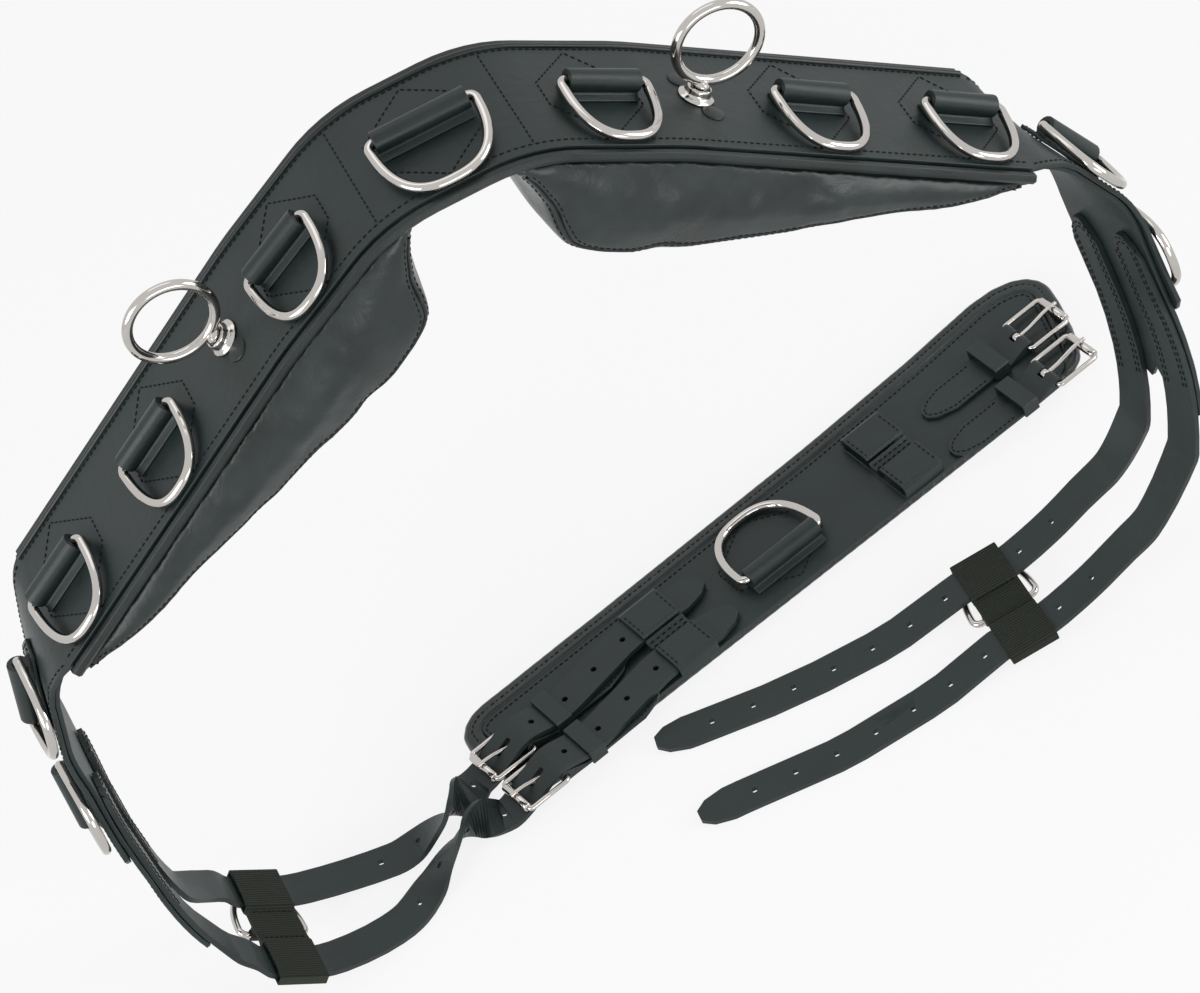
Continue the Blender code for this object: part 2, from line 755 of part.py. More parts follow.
# Free run of each billet before and after its webbing keeper: distance, Y, lift off the arch line
RUNS_BEFORE = {
    "right_rear": ((0.690, -0.0225, 0), (0.716, -0.0160, 0), (0.745, -0.0130, 0.001)),
    "right_front": ((0.690, -0.0775, 0), (0.716, -0.0720, 0), (0.745, -0.0690, 0.001)),
    "left_rear": ((0.680, 0.008, 0), (0.695, 0.0125, 0)),
    "left_front": ((0.680, -0.0480, 0), (0.695, -0.0495, 0)),
}
RUNS_AFTER = {
    "right_rear": ((0.845, -0.0155, 0.0042), (0.872, -0.0168, 0.0009), (0.904, -0.0172, 0),
                   (0.953, -0.0148, 0), (1.006, -0.0075, 0), (1.036, -0.002, 0)),
    "right_front": ((0.845, -0.0735, 0.0042), (0.872, -0.0758, 0.0009), (0.904, -0.0785, 0),
                    (0.939, -0.0800, 0), (0.966, -0.0775, 0), (1.000, -0.0745, 0), (1.036, -0.0725, 0)),
    "left_rear": ((0.765, 0.0145, 0), (0.795, 0.015, 0), (0.822, 0.013, 0)),
    "left_front": ((0.765, -0.0475, 0), (0.790, -0.042, 0), (0.812, -0.035, 0)),
}
KEEPER_Y = {"right_rear": -0.0135, "right_front": -0.0695, "left_rear": 0.014, "left_front": -0.050}
# Half twist before the girth: X, Y, height, turn of the width direction in degrees
LEFT_TWIST = {
    "rear": ((-0.182, 0.0140, 0.0030, 177), (-0.169, 0.0145, 0.0078, 160), (-0.1565, 0.0150, 0.0125, 136),
             (-0.148, 0.0180, 0.0150, 100), (-0.1415, 0.0235, 0.0135, 58), (-0.1360, 0.0285, 0.0090, 20)),
    "front": ((-0.184, -0.0215, 0.0032, 177), (-0.168, -0.0120, 0.0097, 155), (-0.154, -0.0050, 0.0138, 130),
              (-0.145, -0.0020, 0.0150, 95), (-0.1365, -0.0010, 0.0135, 58), (-0.1285, -0.0010, 0.0090, 20)),
}
# Climb over the girth: along the girth, shift from the strap line, height
CLIMB = ((-0.0250, 0.0, 0.0068), (-0.0155, 0.0, 0.0087), (-0.0080, 0.0, 0.0117), (0.0, 0.0, 0.0157),
         (0.0075, 0.0, 0.0193), (0.0165, 0.0, 0.0210), (0.0255, 0.0, 0.0191), (0.0365, 0.0, 0.0158),
         (0.052, 0.0005, 0.0149), (0.085, 0.0060, 0.0149), (0.110, 0.0098, 0.0148),
         (0.148, 0.010, 0.0136), (0.176, 0.010, 0.0122))


def billet_path(side, which):
    """Centre line of a billet from its root to its tip; side is +1 right, -1 left."""
    label = ("right_" if side > 0 else "left_") + which
    keys = root_keys(side, BILLET_SPREAD if which == "rear" else -BILLET_SPREAD)
    keys += [arch_key(side * s, y, lift) for s, y, lift in RUNS_BEFORE[label]]
    keys += straight_keys(*KEEPER_LINES[side], side, KEEPER_Y[label])
    keys += [arch_key(side * s, y, lift) for s, y, lift in RUNS_AFTER[label]]
    if side < 0:
        for x, y, z, turn in LEFT_TWIST[which]:
            angle = math.radians(turn)
            wide = Vector((0, 1, 0)) * math.cos(angle) + Vector((0, 0, 1)) * math.sin(angle)
            keys.append((x, y, z, *wide))
        strap_y = STRAP_Y[0] if which == "rear" else STRAP_Y[1]
        for x, shift, z in CLIMB:
            keys.append((*on_girth(x, strap_y + shift, z), *GIRTH_ACROSS))
    rows = smooth_line(keys)
    return Path(rows[:, :3], rows[:, 3:], BILLET_ROOT)


def billet(path, slot_at=None):
    """Pointed strap with punched holes, cut flat and bent along its path."""
    start = BILLET_ROOT
    end = float(path.dist[-1])
    half = BILLET_HALF
    root = [(start, 0.003), (start + 0.008, 0.0085), (start + 0.018, half)]
    tip = [(end - 0.022, half), (end - 0.009, 0.0095), (end - 0.002, 0.004)]
    holes = []
    first = end - LAST_HOLE - (HOLE_COUNT - 1) * HOLE_PITCH
    for k in range(HOLE_COUNT):
        s = first + k * HOLE_PITCH
        if slot_at is None or abs(s - slot_at) > SLOT_CLEAR:
            holes.append(circle(HOLE_RADIUS, 6, s, 0.0))
    if slot_at is not None:
        half_slot = SLOT_HALF
        corner = HOLE_RADIUS - 0.001
        holes.append([(slot_at - half_slot, -corner), (slot_at - half_slot + 0.001, -HOLE_RADIUS),
                      (slot_at + half_slot - 0.001, -HOLE_RADIUS), (slot_at + half_slot, -corner),
                      (slot_at + half_slot, corner), (slot_at + half_slot - 0.001, HOLE_RADIUS),
                      (slot_at - half_slot + 0.001, HOLE_RADIUS), (slot_at - half_slot, corner)])
    mesh = slab(both_sides(root + tip), -BILLET / 2, BILLET / 2)
    return bend(mesh, path, path.cuts(start, end, 4.0, 0.05), holes)


# Webbing keepers

def web_section(spread):
    """Folded webbing round two straps, pinched between them, with a small fold for the ring bar."""
    inner_h = BILLET / 2 + 0.0006
    outer_h = inner_h + WEB_THICK
    inner = spread - WEB_TUNNEL_HALF
    end = spread + WEB_TUNNEL_HALF + WEB_THICK
    pinch = min(inner - 0.0015, 0.012)
    fold = circle(WEB_RING_WIRE + 0.0003 + 0.0013, 9, 0.0, WEB_BAR_RISE, math.radians(-45), math.radians(270))
    neck = 0.0026
    outline = [(-end, -outer_h + 0.001), (-end + 0.001, -outer_h), (-inner, -outer_h), (-pinch, -0.0019),
               (pinch, -0.0019), (inner, -outer_h), (end - 0.001, -outer_h), (end, -outer_h + 0.001),
               (end, outer_h - 0.001), (end - 0.001, outer_h), (inner, outer_h), (pinch, 0.0019)]
    outline += [(neck, 0.0021)] + fold + [(-neck, 0.0021)]
    outline += [(-pinch, 0.0019), (-inner, outer_h), (-end + 0.001, outer_h), (-end, outer_h - 0.001)]
    holes = []
    for side in (-1, 1):
        centre = side * spread
        reach = WEB_TUNNEL_HALF
        holes.append([(centre - reach, -inner_h), (centre + reach, -inner_h), (centre + reach, inner_h),
                      (centre - reach, inner_h)])
    holes.append(circle(WEB_RING_WIRE + 0.0003, 10, 0.0, WEB_BAR_RISE))
    return outline, holes


def keeper_place(rear, front, s_rear, s_front):
    """Frame midway between two billets: along them, across them, outwards."""
    a, along_a = rear.frame(s_rear)[:2]
    b, along_b = front.frame(s_front)[:2]
    middle = (a + b) / 2
    wide = a - b
    spread = float(np.linalg.norm(wide)) / 2
    wide = wide / np.linalg.norm(wide)
    along = along_a + along_b
    along = along - along.dot(wide) * wide
    along = along / np.linalg.norm(along)
    out = np.cross(along, wide)
    place = Matrix.Identity(4)
    for row in range(3):
        place[row][0] = along[row]
        place[row][1] = wide[row]
        place[row][2] = out[row]
    place.translation = Vector(middle)
    return place, spread


def webbing_keeper(place, spread):
    outline, holes = web_section(spread)
    mesh = extrude_along(outline, WEB_WIDTH, holes)
    mesh.transform(place)
    return mesh


def keeper_ring(place):
    mesh = tube(dee_line(WEB_RING_WIDTH, WEB_RING_REACH, WEB_RING_WIRE, 0.005), WEB_RING_WIRE, True)
    flip = Matrix.Rotation(math.pi, 4, "Z")
    mesh.transform(place @ Matrix.Translation((0, 0, WEB_BAR_RISE)) @ flip)
    return mesh


# Girth

def girth_outline(inset, reach=0.0):
    """Girth outline drawn in behind and at both ends; the front is only pushed out by the reach."""
    outline = []
    count = len(GIRTH_EDGE)
    for k, (x, y) in enumerate(GIRTH_EDGE):
        before = GIRTH_EDGE[k - 1]
        after = GIRTH_EDGE[(k + 1) % count]
        normal = Vector((after[1] - before[1], before[0] - after[0])).normalized()
        if y < GIRTH_SQUARE:
            inwards = 1 if x < 0.05 else -1 if x > 0.43 else 0
            outline.append((x + inwards * inset, y - reach))
        else:
            outline.append((x - normal.x * inset, y - normal.y * inset))
    return outline


def rounded_edges(mesh, radius, segments, top, bottom):
    """Round the long edges of a slab at its top and bottom faces."""
    bm = bmesh.new()
    bm.from_mesh(mesh)
    edges = []
    for edge in bm.edges:
        heights = [v.co.z for v in edge.verts]
        level = abs(heights[0] - heights[1]) < 1e-7
        rim = len({round(f.normal.z, 1) for f in edge.link_faces}) > 1
        at_top = top and abs(heights[0] - top) < 1e-6
        at_bottom = bottom is not None and abs(heights[0] - bottom) < 1e-6
        if level and rim and (at_top or at_bottom):
            edges.append(edge)
    bmesh.ops.bevel(bm, geom=edges, offset=radius, offset_type="OFFSET", segments=segments, profile=0.5,
                    affect="EDGES", clamp_overlap=True)
    bm.to_mesh(mesh)
    bm.free()
    return mesh


def girth_lining():
    """Padded base with a raised round rim behind and at both ends, and a seat for the panel."""
    body = slab(girth_outline(0.0), 0.0, GIRTH_RIM_HEIGHT)
    body = rounded_edges(body, 0.0042, 3, GIRTH_RIM_HEIGHT, 0.0)
    pocket = girth_outline(GIRTH_RIM, 0.040)
    cutter = slab(pocket, GIRTH_BASE, GIRTH_RIM_HEIGHT + 0.010)
    mesh = combine(body, cutter, "DIFFERENCE")
    mesh.transform(girth_matrix())
    return mesh


def keeper_section():
    """Section across the girth of the leather that forms two strap tunnels, on the panel."""
    base = PANEL_TOP - 0.0005
    outer_top = TUNNEL_TOP + 0.0022
    rear = TUNNEL_Y[0] + TUNNEL_HALF + KEEPER_WALL
    front = TUNNEL_Y[1] - TUNNEL_HALF - 0.002
    mid_rear = TUNNEL_Y[0] - TUNNEL_HALF
    mid_front = TUNNEL_Y[1] + TUNNEL_HALF
    return [(rear + 0.002, base), (rear, TUNNEL_TOP), (rear - 0.003, outer_top), (mid_rear + 0.003, outer_top),
            (mid_rear - 0.002, PANEL_TOP + 0.0045), (mid_front + 0.002, PANEL_TOP + 0.0045),
            (mid_front - 0.003, outer_top), (front + 0.003, outer_top), (front, TUNNEL_TOP), (front, base)]


def girth_leather():
    """Top panel with its two double keepers."""
    panel = slab(girth_outline(GIRTH_RIM + GAP), GIRTH_BASE + GAP, PANEL_TOP)
    for low, high in DOUBLE_KEEPERS:
        block = extrude_along(keeper_section(), high - low)
        block.transform(Matrix.Translation(((low + high) / 2, 0, 0)))
        panel = combine(panel, block, "UNION")
        for y in TUNNEL_Y:
            tunnel = box((low - 0.005, y - TUNNEL_HALF, PANEL_TOP + 0.00001),
                         (high + 0.005, y + TUNNEL_HALF, TUNNEL_TOP))
            panel = combine(panel, tunnel, "DIFFERENCE")
    panel.transform(girth_matrix())
    return panel


# Buckles, in their own frame: +X towards the roller, Z from the panel's top

def buckle_chape():
    """Leather folded round the heel bar, slotted for the tongue, with its small keeper."""
    low = GAP
    top = low + CHAPE_THICK
    roll = circle(CHAPE_ROLL_RADIUS, 12, 0.0, BAR_RISE, math.radians(-90), math.radians(200))
    section = [(-CHAPE_LENGTH, low)] + roll
    section += [(-0.0145, top + 0.0006), (-0.018, top), (-CHAPE_LENGTH, top)]
    bore = circle(BUCKLE_WIRE + BORE_CLEARANCE, 10, 0.0, BAR_RISE)
    body = slab(section, -0.016, 0.016, [bore])
    body.transform(Matrix(((1, 0, 0, 0), (0, 0, -1, 0), (0, 1, 0, 0), (0, 0, 0, 1))))
    tip = [(-CHAPE_LENGTH + 0.001, 0.003), (-CHAPE_LENGTH + 0.006, 0.008), (-CHAPE_LENGTH + 0.020, BILLET_HALF),
           (0.010, BILLET_HALF)]
    body = combine(body, slab(both_sides(tip), -0.010, 0.030), "INTERSECT")
    slot = box((-TONGUE_SLOT_BACK, -TONGUE_SLOT_HALF, -0.010), (0.010, TONGUE_SLOT_HALF, 0.030))
    body = combine(body, slot, "DIFFERENCE")
    start, end = SMALL_KEEPER
    half = BILLET_HALF + 0.0010
    wall = SMALL_KEEPER_WALL
    inner_top = top + SMALL_KEEPER_CLEAR
    loop = [(-half - wall, low + 0.0004), (half + wall, low + 0.0004), (half + wall, inner_top + 0.0007),
            (half + wall - 0.001, inner_top + wall), (-half - wall + 0.001, inner_top + wall),
            (-half - wall, inner_top + 0.0007)]
    space = [(-half, top - 0.0005), (half, top - 0.0005), (half, inner_top), (-half, inner_top)]
    keeper = extrude_along(loop, end - start, [space])
    keeper.transform(Matrix.Translation(((start + end) / 2, 0, 0)))
    return combine(body, keeper, "UNION")


def buckle_frame():
    """Round-wire frame with a plain roller on the far bar."""
    x0 = 0.0
    x1 = BUCKLE_REACH
    y = BUCKLE_INNER_HALF + BUCKLE_WIRE
    c = 0.0022
    line = [(x0, -y + c, 0), (x0, y - c, 0), (x0 + c * 0.3, y - c * 0.3, 0), (x0 + c, y, 0), (x1 - c, y, 0),
            (x1 - c * 0.3, y - c * 0.3, 0), (x1, y - c, 0), (x1, -y + c, 0), (x1 - c * 0.3, -y + c * 0.3, 0),
            (x1 - c, -y, 0), (x0 + c, -y, 0), (x0 + c * 0.3, -y + c * 0.3, 0)]
    frame = tube(line, BUCKLE_WIRE, True)
    roller = extrude_along(circle(ROLLER_RADIUS, 14, 0, 0), 2 * BUCKLE_INNER_HALF - 0.0012)
    roller.transform(Matrix.Translation((x1, 0, 0)) @ Matrix.Rotation(math.pi / 2, 4, "Z"))
    return combine(frame, roller, "UNION")


def buckle_tongue():
    """Tongue looped round the heel bar and lying on the roller."""
    loop = extrude_along(circle(TONGUE_LOOP_RADIUS, 14), 0.0042)
    loop.transform(Matrix.Rotation(math.pi / 2, 4, "Z"))
    high = ROLLER_RADIUS + TONGUE_RADIUS + 0.0002
    line = [(0.0020, 0, 0.0003), (0.0090, 0, 0.0006), (BUCKLE_REACH - 0.006, 0, high), (BUCKLE_REACH + 0.0035, 0, high)]
    shaft = tube(line, TONGUE_RADIUS, False)
    body = combine(loop, shaft, "UNION")
    bore = extrude_along(circle(BUCKLE_WIRE + BORE_CLEARANCE, 12), 0.02)
    bore.transform(Matrix.Rotation(math.pi / 2, 4, "Z"))
    return combine(body, bore, "DIFFERENCE")


# Assembly

def build_band(parts):
    add_object("outer_leather", outer_leather(), LEATHER_COLOUR, parts)
    add_object("felt_core", felt_core(), FELT_COLOUR, parts)
    add_object("gullet_plate", gullet_plate(), STEEL_COLOUR, parts)
    add_object("lining", lining(), LEATHER_COLOUR, parts)
    add_object("piping_front", piping(-1), LEATHER_COLOUR, parts)
    add_object("piping_rear", piping(1), LEATHER_COLOUR, parts)
    for name, side in (("left", -1), ("right", 1)):
        add_object("pad_" + name, pad(side), PAD_COLOUR, parts)
        add_object("side_piece_" + name, side_piece(side), LEATHER_COLOUR, parts)


def build_dee(parts, name, place, width, reach, roll, path=None, s=None, toward_front=True):
    add_object("dee_chape_" + name, dee_chape(place, roll, path, s), LEATHER_COLOUR, parts)
    bar = place @ Matrix.Translation((0, 0, DEE_BAR_HEIGHT))
    ring = dee_ring(bar, width, reach, DEE_SAG_DEG, toward_front)
    add_object("dee_ring_" + name, ring, NICKEL_COLOUR, parts, bar.translation)


def build_dees(parts):
    build_dee(parts, "centre", BAND.matrix(0.0), BIG_DEE_WIDTH, BIG_DEE_REACH, BIG_ROLL_LENGTH)
    for name, side in (("left", -1), ("right", 1)):
        for number, s in enumerate(DEE_PLACES[side], 1):
            label = name + "_" + str(number)
            low_ring = number >= 4
            path = BAND if low_ring else None
            build_dee(parts, label, BAND.matrix(side * s), DEE_WIDTH, DEE_REACH, DEE_ROLL_LENGTH, path, side * s)


def build_terrets(parts):
    for name, side in (("left", -1), ("right", 1)):
        place = BAND.matrix(side * TERRET_PLACE)
        base = terret_base()
        base.transform(place)
        add_object("terret_base_" + name, base, NICKEL_COLOUR, parts)
        ring = terret_ring()
        ring.transform(place)
        add_object("terret_ring_" + name, ring, NICKEL_COLOUR, parts, place.translation)


def nearest_place(path, point):
    """Distance along a path of the place closest to a point."""
    gaps = np.linalg.norm(path.points - np.array(point), axis=1)
    return float(path.dist[int(gaps.argmin())])


def build_billets(parts):
    for name, side in (("left", -1), ("right", 1)):
        paths = []
        for which, strap_y in zip(("rear", "front"), STRAP_Y):
            path = billet_path(side, which)
            slot = nearest_place(path, on_girth(0.0015, strap_y, 0.0164)) if side < 0 else None
            add_object("billet_" + name + "_" + which, billet(path, slot), LEATHER_COLOUR, parts)
            paths.append(path)
        build_keeper(parts, name, side, *paths)


def build_keeper(parts, name, side, rear, front):
    x, z = KEEPER_LINES[side][0]
    spots = []
    for path, which in ((rear, "rear"), (front, "front")):
        spots.append(nearest_place(path, (x, KEEPER_Y[name + "_" + which], z)))
    place, spread = keeper_place(rear, front, *spots)
    if side < 0:
        place = place @ Matrix.Rotation(math.pi, 4, "Y")
    add_object("webbing_keeper_" + name, webbing_keeper(place, spread), WEB_COLOUR, parts, place.translation)
    bar = place @ Vector((0, 0, WEB_BAR_RISE))
    add_object("keeper_ring_" + name, keeper_ring(place), NICKEL_COLOUR, parts, bar)


def build_girth(parts):
    add_object("girth_lining", girth_lining(), LEATHER_COLOUR, parts)
    add_object("girth_leather", girth_leather(), LEATHER_COLOUR, parts)
    place = girth_matrix(GIRTH_DEE_X, GIRTH_DEE_Y, PANEL_TOP)
    chape = dee_chape(place, BIG_ROLL_LENGTH)
    add_object("girth_dee_chape", chape, LEATHER_COLOUR, parts)
    bar = place @ Matrix.Translation((0, 0, DEE_BAR_HEIGHT))
    ring = dee_ring(bar, BIG_DEE_WIDTH, BIG_DEE_REACH, DEE_SAG_DEG, False)
    add_object("girth_dee_ring", ring, NICKEL_COLOUR, parts, bar.translation)


def build_buckles(parts):
    for name, heels, lines, flip in (("left", (HEEL_LEFT, HEEL_LEFT), STRAP_Y, True),
                                     ("right", HEEL_RIGHT, STRAP_RIGHT, False)):
        for which, heel, y in zip(("rear", "front"), heels, lines):
            label = name + "_" + which
            place = girth_matrix(heel, y, PANEL_TOP, flip)
            bar = place @ Matrix.Translation((0, 0, BAR_RISE))
            chape = buckle_chape()
            chape.transform(place)
            frame = buckle_frame()
            frame.transform(bar)
            tongue = buckle_tongue()
            tongue.transform(bar)
            add_object("buckle_chape_" + label, chape, LEATHER_COLOUR, parts)
            add_object("buckle_frame_" + label, frame, NICKEL_COLOUR, parts, bar.translation)
            add_object("buckle_tongue_" + label, tongue, NICKEL_COLOUR, parts, bar.translation)


def seat_on_origin(parts):
    """Put the middle of the base of the whole object's bounding box on the origin."""
    corners = []
    for item in parts.objects:
        corners += [item.location + v.co for v in item.data.vertices]
    low = Vector([min(c[k] for c in corners) for k in range(3)])
    high = Vector([max(c[k] for c in corners) for k in range(3)])
    shift = Vector(((low.x + high.x) / 2, (low.y + high.y) / 2, low.z))
    for item in parts.objects:
        item.location = item.location - shift
    print("shift", tuple(round(v, 6) for v in shift), "size", tuple(round(v, 4) for v in high - low))


def build():
    clear_scene()
    parts = bpy.data.collections.new("lunging_surcingle")
    bpy.context.scene.collection.children.link(parts)
    build_band(parts)
    build_dees(parts)
    build_terrets(parts)
    build_billets(parts)
    build_girth(parts)
    build_buckles(parts)
    seat_on_origin(parts)


build()
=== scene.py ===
# %% [markdown]
# # A lunging surcingle, dressed
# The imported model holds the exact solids. This script gives them their finish: leather, thread,
# webbing and nickel, stuffed pads made by cloth simulation, and smooth wire rings.

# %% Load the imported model
import json
import math

import bmesh
import bpy
import numpy as np
from mathutils import Matrix, Vector, noise
from mathutils.bvhtree import BVHTree


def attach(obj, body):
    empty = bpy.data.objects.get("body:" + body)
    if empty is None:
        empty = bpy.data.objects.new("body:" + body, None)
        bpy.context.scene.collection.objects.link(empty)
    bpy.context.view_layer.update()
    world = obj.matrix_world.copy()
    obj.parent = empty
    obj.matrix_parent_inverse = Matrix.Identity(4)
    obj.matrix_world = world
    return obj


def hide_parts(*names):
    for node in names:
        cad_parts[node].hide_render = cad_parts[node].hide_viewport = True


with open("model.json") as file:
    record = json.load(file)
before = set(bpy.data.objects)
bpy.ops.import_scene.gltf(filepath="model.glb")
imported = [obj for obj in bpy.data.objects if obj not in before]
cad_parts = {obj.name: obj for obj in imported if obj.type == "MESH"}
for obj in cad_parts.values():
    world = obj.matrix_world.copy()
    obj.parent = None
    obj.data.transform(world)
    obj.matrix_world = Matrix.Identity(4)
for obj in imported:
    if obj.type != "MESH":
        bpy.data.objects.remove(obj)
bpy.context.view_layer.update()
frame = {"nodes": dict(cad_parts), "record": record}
nodes = frame["nodes"]
BODY_OF = {name: body for body, names in frame["record"]["behaviour"]["bodies"].items()
           for name in names}

# %% [markdown]
# ## Where things lie
# The body strap was drawn flat and bent along a path. The first table repeats the path's stations
# in millimetres: distance along the strap, the point, and the direction across the strap. With it
# a stitch line can be drawn flat and laid on the bent leather. The second table gives the point,
# the direction along the strap and the direction across it where each ring and terret sits.

# %% Stations of the body strap
BAND = (
    (-656, -337.57, -83.63, 84.21, -0.076, 0.997, -0.031),
    (-651, -339.36, -83.63, 88.87, -0.081, 0.996, -0.029),
    (-645, -341.2, -83.63, 94.58, -0.082, 0.996, -0.024),
    (-638, -342.99, -83.57, 101.35, -0.074, 0.996, -0.042),
    (-630, -344.7, -83.24, 109.16, -0.061, 0.996, -0.072),
    (-622, -346.1, -82.64, 117.01, -0.048, 0.994, -0.099),
    (-612, -347.51, -81.57, 126.85, -0.035, 0.991, -0.128),
    (-600, -348.8, -79.89, 138.66, -0.024, 0.987, -0.158),
    (-594, -349.33, -78.93, 144.56, -0.022, 0.985, -0.169),
    (-580, -350.28, -76.42, 158.3, -0.02, 0.981, -0.191),
    (-564, -351.16, -73.27, 173.96, 0.001, 0.979, -0.203),
    (-560, -351.38, -72.45, 177.87, 0.009, 0.979, -0.204),
    (-542, -351.84, -68.75, 195.48, 0.028, 0.978, -0.205),
    (-532, -351.68, -66.74, 205.27, 0.041, 0.979, -0.199),
    (-514, -351.37, -63.35, 222.95, 0.05, 0.983, -0.176),
    (-502, -351.16, -61.38, 234.78, 0.052, 0.987, -0.152),
    (-492, -351.04, -59.99, 244.68, 0.059, 0.99, -0.126),
    (-486, -351.21, -59.28, 250.64, 0.065, 0.992, -0.106),
    (-478, -351.6, -58.51, 258.59, 0.065, 0.995, -0.08),
    (-470, -351.68, -57.96, 266.57, 0.065, 0.996, -0.054),
    (-462, -351.32, -57.67, 274.55, 0.068, 0.997, -0.025),
    (-454, -350.42, -57.63, 282.5, 0.073, 0.997, -0.011),
    (-412, -342.22, -57.63, 323.67, 0.084, 0.996, -0.023),
    (-404, -339.89, -57.63, 331.32, 0.073, 0.997, -0.024),
    (-398, -337.89, -57.63, 336.98, 0.057, 0.998, -0.021),
    (-390, -334.46, -57.63, 344.2, 0.029, 0.999, -0.017),
    (-384, -331.03, -57.63, 349.11, 0.012, 1, -0.009),
    (-380, -328.37, -57.63, 352.1, 0.004, 1, -0.004), (-374, -323.89, -57.63, 356.08, 0, 1, 0),
    (-330, -288.98, -57.63, 382.87, 0, 1, 0), (-284, -252.49, -57.63, 410.87, 0, 1, 0),
    (-238, -215.99, -57.63, 438.87, 0, 1, 0), (-192, -179.5, -57.63, 466.87, 0, 1, 0),
    (-146, -143, -57.63, 494.88, 0, 1, 0), (-134, -133.21, -57.63, 501.8, 0, 1, 0),
    (-119.6, -121.13, -57.63, 509.64, 0, 1, 0), (-73.6, -82.55, -57.63, 534.7, 0, 1, 0),
    (-66, -76.02, -57.63, 538.59, 0, 1, 0), (-56, -67.02, -57.63, 542.94, 0, 1, 0),
    (-46, -57.63, -57.63, 546.36, 0, 1, 0), (-36, -47.95, -57.63, 548.84, 0, 1, 0),
    (-26, -38.07, -57.63, 550.33, 0, 1, 0), (-16, -28.08, -57.63, 550.83, 0, 1, 0),
    (0, -12.08, -57.63, 550.83, 0, 1, 0), (16, 3.92, -57.63, 550.83, 0, 1, 0),
    (26, 13.9, -57.63, 550.33, 0, 1, 0), (36, 23.79, -57.63, 548.84, 0, 1, 0),
    (46, 33.47, -57.63, 546.36, 0, 1, 0), (56, 42.86, -57.63, 542.94, 0, 1, 0),
    (66, 51.86, -57.63, 538.59, 0, 1, 0), (73.6, 58.39, -57.63, 534.7, 0, 1, 0),
    (119.6, 96.97, -57.63, 509.64, 0, 1, 0), (134, 109.04, -57.63, 501.8, 0, 1, 0),
    (146, 118.84, -57.63, 494.88, 0, 1, 0), (192, 155.34, -57.63, 466.87, 0, 1, 0),
    (238, 191.83, -57.63, 438.87, 0, 1, 0), (284, 228.32, -57.63, 410.87, 0, 1, 0),
    (330, 264.82, -57.63, 382.87, 0, 1, 0), (374, 299.73, -57.63, 356.08, 0, 1, 0),
    (380, 304.21, -57.63, 352.1, -0.012, 1, -0.011),
    (384, 306.87, -57.63, 349.11, -0.033, 0.999, -0.026),
    (390, 310.39, -57.63, 344.26, -0.078, 0.996, -0.051),
    (398, 314.36, -57.63, 337.31, -0.147, 0.986, -0.074),
    (404, 317.06, -57.63, 331.96, -0.185, 0.978, -0.096),
    (412, 320.86, -57.63, 324.92, -0.208, 0.971, -0.116),
    (454, 341.03, -57.63, 288.1, -0.219, 0.97, -0.101),
    (462, 344.1, -57.63, 280.71, -0.229, 0.97, -0.078),
    (470, 346.23, -57.8, 273.01, -0.224, 0.969, -0.109),
    (478, 347.7, -58.55, 265.18, -0.223, 0.962, -0.159),
    (486, 348.51, -59.84, 257.33, -0.234, 0.951, -0.2),
    (492, 348.71, -61.11, 251.47, -0.244, 0.942, -0.229),
    (502, 348.88, -63.73, 241.83, -0.247, 0.926, -0.284),
    (514, 349.08, -67.53, 230.45, -0.251, 0.908, -0.335),
    (532, 349.37, -74.21, 213.74, -0.255, 0.887, -0.385),
    (542, 349.53, -78.25, 204.59, -0.257, 0.879, -0.402),
    (560, 349.65, -85.82, 188.26, -0.274, 0.873, -0.405),
    (564, 349.55, -87.53, 184.65, -0.28, 0.873, -0.401),
    (580, 348.6, -94.27, 170.17, -0.301, 0.878, -0.373),
    (594, 347.03, -99.92, 157.46, -0.315, 0.889, -0.333),
    (600, 346.14, -102.21, 151.99, -0.318, 0.895, -0.311),
    (612, 343.94, -106.47, 140.99, -0.32, 0.911, -0.259),
    (622, 341.7, -109.59, 131.76, -0.314, 0.927, -0.206),
    (630, 339.66, -111.72, 124.32, -0.305, 0.939, -0.157),
    (638, 337.39, -113.46, 116.85, -0.29, 0.952, -0.1),
    (645, 335.21, -114.6, 110.3, -0.273, 0.961, -0.044),
    (651, 333.2, -115.26, 104.68, -0.256, 0.967, 0.008),
    (656, 331.43, -115.56, 100.02, -0.238, 0.97, 0.055),
)
STATIONS = np.array(BAND)
print("stations", len(BAND))

